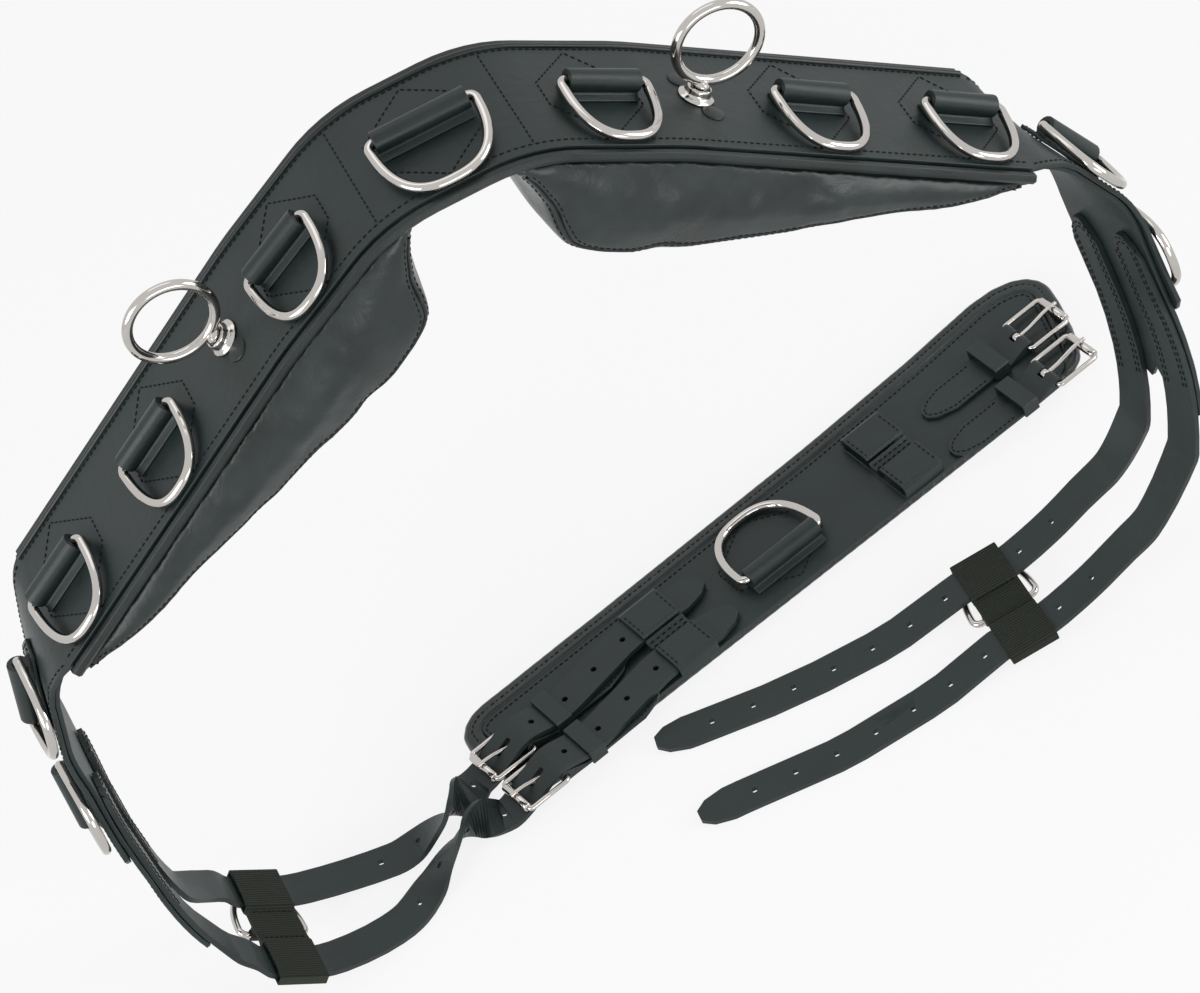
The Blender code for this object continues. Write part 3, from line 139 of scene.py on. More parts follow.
# %% Seats of the rings and terrets
SEATS = {
    "centre": ((-12.08, -57.63, 550.83), (1, 0, 0), (0, 1, 0)),
    "left_1": ((-109.72, -57.63, 517.05), (0.8387, 0, 0.5446), (0, 1, 0)),
    "left_2": ((-219.96, -57.63, 435.83), (0.7934, 0, 0.6088), (0, 1, 0)),
    "left_3": ((-301.68, -57.63, 373.12), (0.7934, 0, 0.6088), (0, 1, 0)),
    "left_4": ((-347.04, -57.63, 302.21), (0.1816, 0, 0.9834), (0.0806, 0.9966, -0.0149)),
    "left_5": ((-351.54, -65.18, 213.12), (0.0171, 0.1899, 0.9817), (0.0482, 0.9805, -0.1905)),
    "terret_left": ((-161.25, -57.63, 480.88), (0.7934, 0, 0.6088), (0, 1, 0)),
    "right_1": ((85.56, -57.63, 517.05), (0.8387, 0, -0.5446), (0, 1, 0)),
    "right_2": ((195.8, -57.63, 435.83), (0.7934, 0, -0.6088), (0, 1, 0)),
    "right_3": ((277.51, -57.63, 373.12), (0.7934, 0, -0.6088), (0, 1, 0)),
    "right_4": ((331.77, -57.63, 305.82), (0.492, 0, -0.8706), (-0.2079, 0.9711, -0.1175)),
    "right_5": ((349.21, -70.57, 222.51), (0.0162, -0.3707, -0.9286), (-0.253, 0.897, -0.3625)),
    "terret_right": ((137.09, -57.63, 480.88), (0.7934, 0, -0.6088), (0, 1, 0)),
}
GIRTH_CORNER = Vector((-0.12908, 0.02837, 0.00083))
GIRTH_TURN = math.radians(14.4)
GIRTH_LONG = Vector((math.cos(GIRTH_TURN), math.sin(GIRTH_TURN), 0))
GIRTH_ACROSS = Vector((-GIRTH_LONG.y, GIRTH_LONG.x, 0))
PANEL_TOP = 0.0098
print("seats", len(SEATS))


# %% From flat leather to its place
NEIGHBOUR = 1.5


def station(place, first):
    """Three columns of the stations, read off at a distance in millimetres."""
    return np.array([np.interp(place, STATIONS[:, 0], STATIONS[:, k])
                     for k in range(first, first + 3)])


def strap_frame(s):
    """Point, along, across and outward directions of the body strap at distance s in metres."""
    place = s * 1000
    along = Vector(station(place + NEIGHBOUR, 1) - station(place - NEIGHBOUR, 1)).normalized()
    across = Vector(station(place, 4))
    across = (across - across.dot(along) * along).normalized()
    return Vector(station(place, 1)) / 1000, along, across, along.cross(across)


def on_girth(x, y, z):
    return GIRTH_CORNER + GIRTH_LONG * x + GIRTH_ACROSS * y + Vector((0, 0, z))


def place_matrix(origin, along, across):
    """A place whose X runs along the leather, Y across it and Z out of it."""
    turn = Matrix((along, across, along.cross(across))).transposed()
    return Matrix.Translation(origin) @ turn.to_4x4()


def seat_matrix(name):
    origin, along, across = SEATS[name]
    return place_matrix(Vector(origin) / 1000, Vector(along), Vector(across))


# %% [markdown]
# ## Camera, floor and light
# The photograph was taken from the front, high up, with a long lens and a tilted camera. A pale
# floor and large soft lamps stand for the studio; polished metal needs something white to mirror.

# %% Camera
def make_camera():
    camera = bpy.data.objects.new("camera", bpy.data.cameras.new("camera"))
    camera.data.sensor_width = 36
    camera.data.lens = 145.38
    camera.data.clip_end = 50
    camera.location = (-0.22323, -2.05029, 2.33234)
    camera.rotation_euler = (0.720244, 0.270259, -0.406496)
    bpy.context.scene.collection.objects.link(camera)
    bpy.context.scene.camera = camera
    print("camera", camera.data.lens, "mm")


make_camera()

# %% Helpers for colours and nodes
def linear(code):
    """sRGB hex to the linear values that Blender's shaders use."""
    values = [int(code[k:k + 2], 16) / 255 for k in (1, 3, 5)]
    return (*[v / 12.92 if v <= 0.04045 else ((v + 0.055) / 1.055) ** 2.4 for v in values], 1.0)


def add_node(tree, kind, values=None, links=None, **settings):
    """Add one node, set its properties and input values, and link its inputs."""
    node = tree.nodes.new(kind)
    for name, value in settings.items():
        setattr(node, name, value)
    for name, value in (values or {}).items():
        node.inputs[name].default_value = value
    for name, socket in (links or {}).items():
        tree.links.new(socket, node.inputs[name])
    return node


def new_material(name, **sockets):
    """A material with the given socket values; returns it, its tree and its shader."""
    made = bpy.data.materials.new(name)
    made.use_nodes = True
    shader = made.node_tree.nodes["Principled BSDF"]
    for socket, value in sockets.items():
        shader.inputs[socket.replace("_", " ")].default_value = value
    return made, made.node_tree, shader


def mesh_from(bm, name="part"):
    """Turn a bmesh into a mesh and let the bmesh go."""
    mesh = bpy.data.meshes.new(name)
    bm.to_mesh(mesh)
    bm.free()
    return mesh


# %% Floor and studio light
WHITE = linear("#ffffff")
FLOOR_SHARE = 0.84
AIM = Vector((0, 0, 0.3))


def backdrop_rays(tree):
    """1 for the rays that show the backdrop, straight on, mirrored or through glass; else 0."""
    rays = add_node(tree, "ShaderNodeLightPath").outputs
    seen = rays["Is Camera Ray"]
    for other in ("Is Glossy Ray", "Is Transmission Ray"):
        seen = add_node(tree, "ShaderNodeMath", None, {0: seen, 1: rays[other]},
                        operation="MAXIMUM").outputs[0]
    return seen


def studio_world():
    """White where it is seen, softer and greyer where it lights the object."""
    world = bpy.data.worlds.new("studio")
    world.use_nodes = True
    tree = world.node_tree
    plain = tree.nodes["Background"]
    plain.inputs["Color"].default_value = linear("#f4f5f6")
    plain.inputs["Strength"].default_value = 0.38
    bright = add_node(tree, "ShaderNodeBackground", {"Color": WHITE, "Strength": 1.0})
    mix = add_node(tree, "ShaderNodeMixShader", None,
                   {0: backdrop_rays(tree), 1: plain.outputs[0], 2: bright.outputs[0]})
    tree.links.new(mix.outputs[0], tree.nodes["World Output"].inputs["Surface"])
    bpy.context.scene.world = world


def studio_floor():
    """A pale floor, mostly white where it is seen; the rest of its shading keeps the shadow."""
    bm = bmesh.new()
    bmesh.ops.create_grid(bm, x_segments=2, y_segments=2, size=6)
    mesh = mesh_from(bm, "floor")
    floor = bpy.data.objects.new("floor", mesh)
    bpy.context.scene.collection.objects.link(floor)
    made, tree, shader = new_material("pale floor", Roughness=0.9, Base_Color=linear("#f2f3f3"))
    glow = add_node(tree, "ShaderNodeEmission", {"Color": WHITE, "Strength": 1.0})
    share = add_node(tree, "ShaderNodeMath", {1: FLOOR_SHARE}, {0: backdrop_rays(tree)},
                     operation="MULTIPLY")
    mix = add_node(tree, "ShaderNodeMixShader", None,
                   {0: share.outputs[0], 1: shader.outputs[0], 2: glow.outputs[0]})
    tree.links.new(mix.outputs[0], tree.nodes["Material Output"].inputs["Surface"])
    mesh.materials.append(made)


def soft_lamp(name, location, size, power):
    lamp = bpy.data.objects.new(name, bpy.data.lights.new(name, "AREA"))
    lamp.data.shape = "RECTANGLE"
    lamp.data.size, lamp.data.size_y = size
    lamp.data.energy = power
    lamp.location = location
    lamp.rotation_euler = (AIM - Vector(location)).to_track_quat("-Z", "Y").to_euler()
    bpy.context.scene.collection.objects.link(lamp)


studio_world()
studio_floor()
soft_lamp("key", (-2.3, -1.0, 1.1), (1.6, 1.2), 36)
soft_lamp("fill", (2.3, -1.0, 1.1), (1.4, 1.4), 33)
soft_lamp("front", (0.2, -2.5, 0.7), (1.6, 0.8), 15)
soft_lamp("top", (0.2, 0.9, 2.4), (1.6, 1.0), 4)
bpy.context.scene.view_settings.view_transform = "Standard"
print("lamps", len(bpy.data.lights))

# %% [markdown]
# ## Leather
# Strap leather is dyed through, waxed and rolled: an even, dark, slightly green grey with a soft
# shine, fine pores and a few cloudy patches. Pad leather is thinner and softer, so it shines more
# and creases. Pores are about 0.4 mm apart; they are drawn at 1.1 mm, or they would not show.

# %% Leather
def tanned_leather(name, dark, light, rough, crease_depth, gloss=0.36):
    """Grain from cells, cloudy colour from noise, and long soft creases."""
    made, tree, shader = new_material(name, IOR=1.5, Specular_IOR_Level=gloss, Coat_Weight=0.05,
                                      Coat_Roughness=0.25)
    where = {"Vector": add_node(tree, "ShaderNodeTexCoord").outputs["Object"]}
    cloud = add_node(tree, "ShaderNodeTexNoise",
                     {"Scale": 26.0, "Detail": 8.0, "Roughness": 0.62}, where).outputs["Fac"]
    pores = add_node(tree, "ShaderNodeTexVoronoi", {"Scale": 900.0, "Randomness": 1.0}, where,
                     feature="DISTANCE_TO_EDGE")
    crease = add_node(tree, "ShaderNodeTexNoise",
                      {"Scale": 60.0, "Detail": 3.0, "Distortion": 1.4}, where)
    tone = add_node(tree, "ShaderNodeValToRGB", None, {"Fac": cloud})
    for stop, place, code in zip(tone.color_ramp.elements, (0.32, 0.70), (dark, light)):
        stop.position = place
        stop.color = linear(code)
    tree.links.new(tone.outputs["Color"], shader.inputs["Base Color"])
    shine = add_node(tree, "ShaderNodeMapRange",
                     {"From Min": 0.3, "From Max": 0.7, "To Min": rough - 0.06,
                      "To Max": rough + 0.08}, {"Value": cloud})
    tree.links.new(shine.outputs["Result"], shader.inputs["Roughness"])
    fine = add_node(tree, "ShaderNodeBump", {"Strength": 0.5, "Distance": 0.00015},
                    {"Height": pores.outputs["Distance"]})
    wide = add_node(tree, "ShaderNodeBump", {"Strength": 0.5, "Distance": crease_depth},
                    {"Height": crease.outputs["Fac"], "Normal": fine.outputs["Normal"]})
    tree.links.new(wide.outputs["Normal"], shader.inputs["Normal"])
    return made


STRAP_LEATHER = tanned_leather("waxed strap leather", "#141f1e", "#202c2b", 0.45, 0.0006)
PAD_LEATHER = tanned_leather("soft pad leather", "#141c1b", "#222c2b", 0.31, 0.0008, 0.42)
# The rolled edges and welts get a darker leather: partly their own edge dye, partly painted shade
# for the dark grooves beside them.
PIPING_LEATHER = tanned_leather("rolled edge leather", "#0f1716", "#1a2423", 0.38, 0.0006)
print("leathers", STRAP_LEATHER.name, PAD_LEATHER.name, PIPING_LEATHER.name)

# %% [markdown]
# ## Felt, thread and webbing
# The stiffening is pressed wool felt: dull, with fibres in every direction. Thread is waxed linen,
# nearly black; its twist shows as slanting ridges about 0.5 mm apart. Webbing is black nylon woven
# with ribs across its length, 1.2 mm apart and drawn at 2 mm, and small noise breaks them into
# yarns. In all three one pattern gives both the relief and the colour, and the colour is painted
# darker in the dips: painted shade.

# %% Felt, thread and webbing
RIB_PITCH = 0.0020
WAVES_PER_UNIT = 3.18


def spun_surface(name, colours, span, strength, rise, pattern, **sockets):
    """A fibre material whose pattern function returns the height over the piece's place."""
    made, tree, shader = new_material(name, **sockets)
    height = pattern(tree, {"Vector": add_node(tree, "ShaderNodeTexCoord").outputs["Object"]})
    # The colour follows the height and is darker in the dips: painted shade.
    tone = add_node(tree, "ShaderNodeValToRGB", None, {"Fac": height})
    for stop, place, code in zip(tone.color_ramp.elements, span, colours):
        stop.position = place
        stop.color = linear(code)
    tree.links.new(tone.outputs["Color"], shader.inputs["Base Color"])
    bump = add_node(tree, "ShaderNodeBump", {"Strength": strength, "Distance": rise},
                    {"Height": height})
    tree.links.new(bump.outputs["Normal"], shader.inputs["Normal"])
    return made


def felt_fibres(tree, where):
    return add_node(tree, "ShaderNodeTexNoise", {"Scale": 700.0, "Detail": 4.0},
                    where).outputs["Fac"]


def thread_twist(tree, where):
    return add_node(tree, "ShaderNodeTexWave", {"Scale": 600.0, "Distortion": 1.0}, where,
                    bands_direction="DIAGONAL").outputs["Fac"]


def webbing_ribs(tree, where):
    ribs = add_node(tree, "ShaderNodeTexWave",
                    {"Scale": 1 / RIB_PITCH / WAVES_PER_UNIT, "Distortion": 0.6, "Detail": 2.0,
                     "Detail Scale": 4.0}, where, bands_direction="Y")
    yarn = add_node(tree, "ShaderNodeTexNoise", {"Scale": 1100.0, "Detail": 3.0}, where)
    part = add_node(tree, "ShaderNodeMath", {1: 0.35}, {0: yarn.outputs["Fac"]},
                    operation="MULTIPLY")
    return add_node(tree, "ShaderNodeMath", None, {0: ribs.outputs["Fac"], 1: part.outputs[0]},
                    operation="ADD").outputs[0]


FELT = spun_surface("pressed felt", ("#1b1e1f", "#34383a"), (0, 1), 0.6, 0.0004, felt_fibres,
                    Roughness=0.95, IOR=1.45, Sheen_Weight=0.3)
THREAD = spun_surface("waxed linen thread", ("#080b0b", "#121716"), (0, 1), 0.5, 0.0001,
                      thread_twist, Roughness=0.6, IOR=1.5, Specular_IOR_Level=0.15)
WEBBING = spun_surface("woven nylon webbing", ("#0b0e09", "#2a3027"), (0.15, 0.95), 0.9, 0.0006,
                       webbing_ribs, Roughness=0.78, IOR=1.53, Specular_IOR_Level=0.25)
print("fibres", FELT.name, THREAD.name, WEBBING.name)

# %% [markdown]
# ## Nickel and steel
# The rings are steel wire with polished nickel: a warm grey mirror, softened by a haze of wear and
# by hairline scratches. The plate inside is spring steel as it comes from the rolls, much duller.

# %% Nickel and steel
def polished_metal(name, tint, rough):
    made, tree, shader = new_material(name, Metallic=1.0, Base_Color=linear(tint))
    where = {"Vector": add_node(tree, "ShaderNodeTexCoord").outputs["Object"]}
    haze = add_node(tree, "ShaderNodeTexNoise",
                    {"Scale": 90.0, "Detail": 5.0, "Roughness": 0.7}, where)
    scratch = add_node(tree, "ShaderNodeTexNoise", {"Scale": 1400.0, "Detail": 2.0}, where)
    dull = add_node(tree, "ShaderNodeMapRange",
                    {"From Min": 0.35, "From Max": 0.75, "To Min": rough - 0.04,
                     "To Max": rough + 0.12}, {"Value": haze.outputs["Fac"]})
    tree.links.new(dull.outputs["Result"], shader.inputs["Roughness"])
    bump = add_node(tree, "ShaderNodeBump", {"Strength": 0.12, "Distance": 0.00006},
                    {"Height": scratch.outputs["Fac"]})
    tree.links.new(bump.outputs["Normal"], shader.inputs["Normal"])
    return made


NICKEL = polished_metal("polished nickel plate", "#bcb8b4", 0.09)
SPRING_STEEL = polished_metal("rolled spring steel", "#a8a8aa", 0.32)
print("metals", NICKEL.name, SPRING_STEEL.name)

# %% [markdown]
# ## Finishing the solids
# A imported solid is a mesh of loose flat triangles. Welding joins them, a small bevel breaks the
# sharp edges as a leather worker does, and smooth shading lets the bent faces flow into each other.
# A billet twists, so it gets no bevel: it is shaded evenly along its length and split at its edges.
# The solid itself isn't changed: all of this is done by modifiers.

# %% Finish a CAD node
WELD_GAP = 0.00002
TWIST_EDGE = math.radians(50)
REDRAWN = ("pad_", "dee_ring", "girth_dee_ring", "terret", "keeper_ring", "buckle_frame",
           "buckle_tongue")


def coated(name, material):
    """Give a solid its material, shade it smooth and join its triangles."""
    item = nodes[name]
    item.data.materials.clear()
    item.data.materials.append(material)
    item.data.shade_smooth()
    item.modifiers.new("weld", "WELD").merge_threshold = WELD_GAP
    return item


def dress(name, material, rounding=0.0005, limit=32):
    item = coated(name, material)
    bevel = item.modifiers.new("rounding", "BEVEL")
    bevel.width = rounding
    bevel.segments = 2
    bevel.limit_method = "ANGLE"
    bevel.angle_limit = math.radians(limit)
    bevel.use_clamp_overlap = False
    bevel.harden_normals = True
    item.modifiers.new("even shading", "WEIGHTED_NORMAL").keep_sharp = True


def dress_solids():
    for name in nodes:
        if name.startswith("billet"):
            edges = coated(name, STRAP_LEATHER).modifiers.new("edges", "EDGE_SPLIT")
            edges.split_angle = TWIST_EDGE
        elif name.startswith("piping"):
            dress(name, PIPING_LEATHER, 0.0003, 50)
        elif name == "felt_core":
            dress(name, FELT)
        elif name == "gullet_plate":
            dress(name, SPRING_STEEL, 0.0002)
        elif name.startswith("webbing_keeper"):
            dress(name, WEBBING)
        elif not name.startswith(REDRAWN):
            dress(name, STRAP_LEATHER)
    print("dressed", sum(len(item.modifiers) > 0 for item in nodes.values()))


dress_solids()

# %% [markdown]
# ## Wire rings
# A dee ring is bent from round wire: a straight bar and a full bow. Its line is laid out flat,
# bevelled to a round wire as a curve, turned to a mesh and set on its bar.

# %% Wire
FULLNESS = 2 / 2.6
BOW_STEPS = 64
CORNER_STEPS = 6


def finish_piece(mesh, name, material, node=None, body="surcingle"):
    """Link a finished mesh, give it its material and let it ride; it may stand for a solid."""
    mesh.name = name
    mesh.materials.clear()
    mesh.materials.append(material)
    mesh.shade_smooth()
    item = bpy.data.objects.new(name, mesh)
    bpy.context.scene.collection.objects.link(item)
    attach(item, BODY_OF[node] if node else body)
    if node:
        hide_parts(node)
    return item


def wire_mesh(points, radius, closed=True, resolution=5):
    curve = bpy.data.curves.new("wire", "CURVE")
    curve.dimensions = "3D"
    curve.bevel_depth = radius
    curve.bevel_resolution = resolution
    curve.use_fill_caps = not closed
    spline = curve.splines.new("POLY")
    spline.points.add(len(points) - 1)
    for target, point in zip(spline.points, points):
        target.co = (*point, 1.0)
    spline.use_cyclic_u = closed
    item = bpy.data.objects.new("wire", curve)
    bpy.context.scene.collection.objects.link(item)
    mesh = bpy.data.meshes.new_from_object(item)
    bpy.data.objects.remove(item, do_unlink=True)
    return mesh


def dee_line(width, reach, wire, corner):
    """Closed line of a dee: straight bar along X with round corners, bow towards -Y."""
    half = width / 2 - wire
    points = []
    for k in range(1, BOW_STEPS):
        angle = math.pi * k / BOW_STEPS
        c = math.cos(angle)
        x = half * math.copysign(abs(c) ** FULLNESS, c)
        points.append((x, -reach * math.sin(angle) ** FULLNESS, 0.0))
    points = [p for p in points if p[1] < -corner]
    turns = [math.pi / 2 * k / CORNER_STEPS for k in range(CORNER_STEPS + 1)]
    points += [(-half + corner - corner * math.cos(turn), -corner + corner * math.sin(turn), 0.0)
               for turn in turns]
    points += [(half - corner + corner * math.sin(turn), -corner + corner * math.cos(turn), 0.0)
               for turn in turns]
    return points


# %% Dee rings
DEE_WIRE = 0.003
DEE_CORNER = 0.0045
DEE_BAR_HEIGHT = 0.009
DEE_SAG = math.radians(6.5)
LARGE_DEE = (0.072, 0.049)
SIDE_DEE = (0.059, 0.047)
GIRTH_DEE = (0.222, -0.066)


def dee_ring(node, place, size, turned=False):
    mesh = wire_mesh(dee_line(*size, DEE_WIRE, DEE_CORNER), DEE_WIRE)
    turn = Matrix.Rotation(DEE_SAG, 4, "X")
    if turned:
        turn = Matrix.Rotation(math.pi, 4, "Z") @ turn
    mesh.transform(place @ turn)
    finish_piece(mesh, node + "_wire", NICKEL, node)


def all_dee_rings():
    lift = Matrix.Translation((0, 0, DEE_BAR_HEIGHT))
    for label in SEATS:
        if not label.startswith("terret"):
            size = LARGE_DEE if label == "centre" else SIDE_DEE
            dee_ring("dee_ring_" + label, seat_matrix(label) @ lift, size)
    girth = place_matrix(on_girth(*GIRTH_DEE, PANEL_TOP), GIRTH_LONG, GIRTH_ACROSS)
    dee_ring("girth_dee_ring", girth @ lift, LARGE_DEE, True)


all_dee_rings()

# %% Keeper rings
KEEPERS = {"left": ((-293.08, -75.63, 33.83), (-0.7986, 0, 0.6018)),
           "right": ((204.42, -99.13, 12.93), (-0.9976, 0, -0.0698))}
KEEPER_WIRE = 0.00225
KEEPER_RING_HEIGHT = 0.0067


def keeper_matrix(side):
    origin, along = KEEPERS[side]
    return place_matrix(Vector(origin) / 1000, Vector(along), Vector((0, 1, 0)))


def keeper_ring(side):
    mesh = wire_mesh(dee_line(0.050, 0.036, KEEPER_WIRE, 0.005), KEEPER_WIRE)
    mesh.transform(keeper_matrix(side) @ Matrix.Translation((0, 0, KEEPER_RING_HEIGHT))
                   @ Matrix.Rotation(math.pi, 4, "Z"))
    finish_piece(mesh, "keeper_ring_" + side + "_wire", NICKEL, "keeper_ring_" + side)


for side in KEEPERS:
    keeper_ring(side)

# %% [markdown]
# ## Terrets
# A terret is a cast ring on a swivelling stem. The ring is a circle swept round with a full spin;
# the stem and its collar are profiles turned on a lathe, which is also a spin.

# %% Turned and swept metal
def lathe(bm, profile, steps):
    """Spin a (radius, height) profile about Z into a closed shape."""
    verts = [bm.verts.new((r, 0.0, z)) for r, z in profile]
    edges = [bm.edges.new(pair) for pair in zip(verts, verts[1:])]
    bmesh.ops.spin(bm, geom=verts + edges, cent=(0, 0, 0), axis=(0, 0, 1), angle=math.tau,
                   steps=steps, use_merge=True, use_duplicate=False)


def close_up(bm, place):
    """Merge what touches, turn the faces outwards and put the mesh in its place."""
    bmesh.ops.remove_doubles(bm, verts=bm.verts, dist=1e-6)
    bmesh.ops.recalc_face_normals(bm, faces=bm.faces)
    mesh = mesh_from(bm)
    mesh.transform(place)
    return mesh


def turned_mesh(profile, place, steps=40):
    bm = bmesh.new()
    lathe(bm, profile, steps)
    return close_up(bm, place)


def soft_profile(points, rounding=0.0005):
    """Each inner corner of a profile is replaced by two points near it."""
    made = [points[0]]
    for before, here, after in zip(points, points[1:], points[2:]):
        for other in (before, after):
            gap = Vector(other) - Vector(here)
            step = min(rounding, gap.length * 0.45)
            made.append(tuple(Vector(here) + gap.normalized() * step))
    made.append(points[-1])
    return made


# %% Terrets
COLLAR = ((0.0, 0.0003), (0.011, 0.0003), (0.011, 0.0015), (0.0083, 0.0025), (0.0075, 0.0038),
          (0.0075, 0.0068), (0.0068, 0.0075), (0.0038, 0.0075), (0.0038, 0.0025), (0.0, 0.0025))
STEM = ((0.0, 0.0028), (0.0034, 0.0028), (0.0034, 0.0078), (0.0055, 0.0078), (0.0058, 0.0093),
        (0.0042, 0.0108), (0.0036, 0.0130), (0.0, 0.0130))
TERRET_HEIGHT = 0.037
TERRET_RADIUS = 0.02565
TERRET_WIRE = 0.00315


def terret(side):
    seat = seat_matrix("terret_" + side)
    collar = turned_mesh(soft_profile(COLLAR), seat)
    finish_piece(collar, "terret_collar_" + side, NICKEL, "terret_base_" + side)
    ring = bmesh.new()
    lathe(ring, soft_profile(STEM), 40)
    spot = Matrix.Translation((TERRET_RADIUS, 0, TERRET_HEIGHT))
    section = bmesh.ops.create_circle(ring, segments=20, radius=TERRET_WIRE, matrix=spot)["verts"]
    loop = section + list({edge for vert in section for edge in vert.link_edges})
    bmesh.ops.spin(ring, geom=loop, cent=(0, 0, TERRET_HEIGHT), axis=(0, 1, 0), angle=math.tau,
                   steps=72, use_merge=True, use_duplicate=False)
    node = "terret_ring_" + side
    finish_piece(close_up(ring, seat), node + "_swept", NICKEL, node)


# %% Rivet caps beside the terrets
CAP = ((0.0, 0.0), (0.0070, 0.0), (0.0070, 0.0006), (0.0060, 0.0011), (0.0, 0.0012))
CAP_SPOTS = {"front": (0.004, -0.016, 0.0), "rear": (-0.004, 0.016, 0.0)}


def rivet_caps(side):
    """Flat blackened caps, 14 mm across, with a turned-down rim."""
    for end, spot in CAP_SPOTS.items():
        place = seat_matrix("terret_" + side) @ Matrix.Translation(spot)
        cap = turned_mesh(soft_profile(CAP, 0.0003), place)
        finish_piece(cap, "rivet_cap_" + end + "_" + side, PIPING_LEATHER)


for make in (terret, rivet_caps):
    for side in ("left", "right"):
        make(side)
print("terrets and caps done")

# %% [markdown]
# ## Buckles
# A roller buckle is a rectangle of wire, a loose tube on its far bar and a tongue hooked round its
# heel bar. The frame is a bevelled curve with rounded corners; the roller and the tongue's eye are
# turned. The tongue rises from its eye over the roller, and its tip turns down a little.

# %% Buckles
BUCKLES = {"left_rear": (0.0165, -0.048, -1), "left_front": (0.0165, -0.084, -1),
           "right_rear": (0.443, -0.0455, 1), "right_front": (0.434, -0.0845, 1)}
BUCKLE_HEIGHT = 0.0046
FRAME_LENGTH, FRAME_HALF, FRAME_WIRE = 0.032, 0.01485, 0.00175
FRAME_CORNER, QUARTER_STEPS = 0.0030, 5
ROLLER = ((0.0, -0.0125), (0.0030, -0.0125), (0.0030, 0.0125), (0.0, 0.0125))
TONGUE_WIRE = 0.00138
TONGUE = ((0.0022, 0, 0.0004), (0.006, 0, 0.0006), (0.011, 0, 0.0010), (0.018, 0, 0.0026),
          (0.024, 0, 0.0041), (0.029, 0, 0.0046), (0.032, 0, 0.0046), (0.0352, 0, 0.0044))
TONGUE_EYE = ((0.0021, -0.0020), (0.0034, -0.0020), (0.0036, -0.0016), (0.0036, 0.0016),
              (0.0034, 0.0020), (0.0021, 0.0020), (0.0021, -0.0020))


def frame_line():
    """The frame's rectangle, with round corners."""
    points = []
    near, far, across = FRAME_CORNER, FRAME_LENGTH - FRAME_CORNER, FRAME_HALF - FRAME_CORNER
    for x, y, start in ((far, across, 0), (near, across, 90), (near, -across, 180),
                        (far, -across, 270)):
        for k in range(QUARTER_STEPS + 1):
            angle = math.radians(start + 90 * k / QUARTER_STEPS)
            points.append((x + FRAME_CORNER * math.cos(angle), y + FRAME_CORNER * math.sin(angle),
                           0.0))
    return points


def merged(meshes, name="part"):
    """One mesh out of several, which are used up."""
    whole = bmesh.new()
    for mesh in meshes:
        whole.from_mesh(mesh)
        bpy.data.meshes.remove(mesh)
    return mesh_from(whole, name)


def buckle_metal(label):
    x, y, sign = BUCKLES[label]
    seat = place_matrix(on_girth(x, y, PANEL_TOP + BUCKLE_HEIGHT), GIRTH_LONG * sign,
                        GIRTH_ACROSS * sign)
    lying = Matrix.Rotation(math.pi / 2, 4, "X")
    roller = turned_mesh(soft_profile(ROLLER, 0.0004),
                         Matrix.Translation((FRAME_LENGTH, 0, 0)) @ lying, 24)
    shapes = {"buckle_frame_": [wire_mesh(frame_line(), FRAME_WIRE), roller],
              "buckle_tongue_": [wire_mesh(TONGUE, TONGUE_WIRE, False),
                                 turned_mesh(TONGUE_EYE, lying, 28)]}
    for kind, meshes in shapes.items():
        mesh = merged(meshes)
        mesh.transform(seat)
        finish_piece(mesh, kind + label + "_wire", NICKEL, kind + label)


for label in BUCKLES:
    buckle_metal(label)
print("buckles", len(BUCKLES))

# %% [markdown]
# ## Stitching
# Saddlers sew such straps with waxed thread at seven or eight stitches to the inch. Each stitch
# here is a small stretched sphere. A line is drawn flat in strap space, dropped on the leather with
# a ray, and sewn at an even pitch. The stitches are drawn 4.2 mm apart, six to the inch, and a
# little thick, so that they can be seen.

# %% Drop a line on a surface
UP = Vector((0, 0, 1))


def search_tree(*names):
    """One search tree over the named solids."""
    points, faces = [], []
    for name in names:
        start = len(points)
        points += [v.co.copy() for v in nodes[name].data.vertices]
        faces += [[start + i for i in p.vertices] for p in nodes[name].data.polygons]
    return BVHTree.FromPolygons(points, faces)


def mesh_tree(mesh):
    return BVHTree.FromPolygons([v.co for v in mesh.vertices],
                                [list(p.vertices) for p in mesh.polygons])


def dropped(tree, line, height=0.012):
    """Lay (point, outward) pairs on the surface below them."""
    laid = []
    for point, out in line:
        hit = tree.ray_cast(point + out * height, -out, height * 2)
        laid.append((hit[0], out) if hit[0] is not None else (point, out))
    return laid


def walked(corners, place, closed=False, step=0.003):
    """(point, outward) pairs along a flat polyline, each put in its place by a function."""
    corners = [*corners, corners[0]] if closed else corners
    line = []
    for (a0, b0), (a1, b1) in zip(corners, corners[1:]):
        count = max(1, int(math.hypot(a1 - a0, b1 - b0) / step))
        for k in range(count):
            u = k / count
            line.append(place(a0 + (a1 - a0) * u, b0 + (b1 - b0) * u))
    return [*line, place(*corners[-1])]


def on_strap(s, w, h=0.0):
    """Point at a distance along the body strap, across it and out of it, and the way out."""
    point, along, across, out = strap_frame(s)
    return point + across * w + out * h, out


def strap_line(corners, closed=False):
    return walked(corners, on_strap, closed)


def girth_line(corners, height=PANEL_TOP, closed=False):
    return walked(corners, lambda x, y: (on_girth(x, y, height), UP), closed)


# %% Sew
BATCH = 30
STITCHES = []


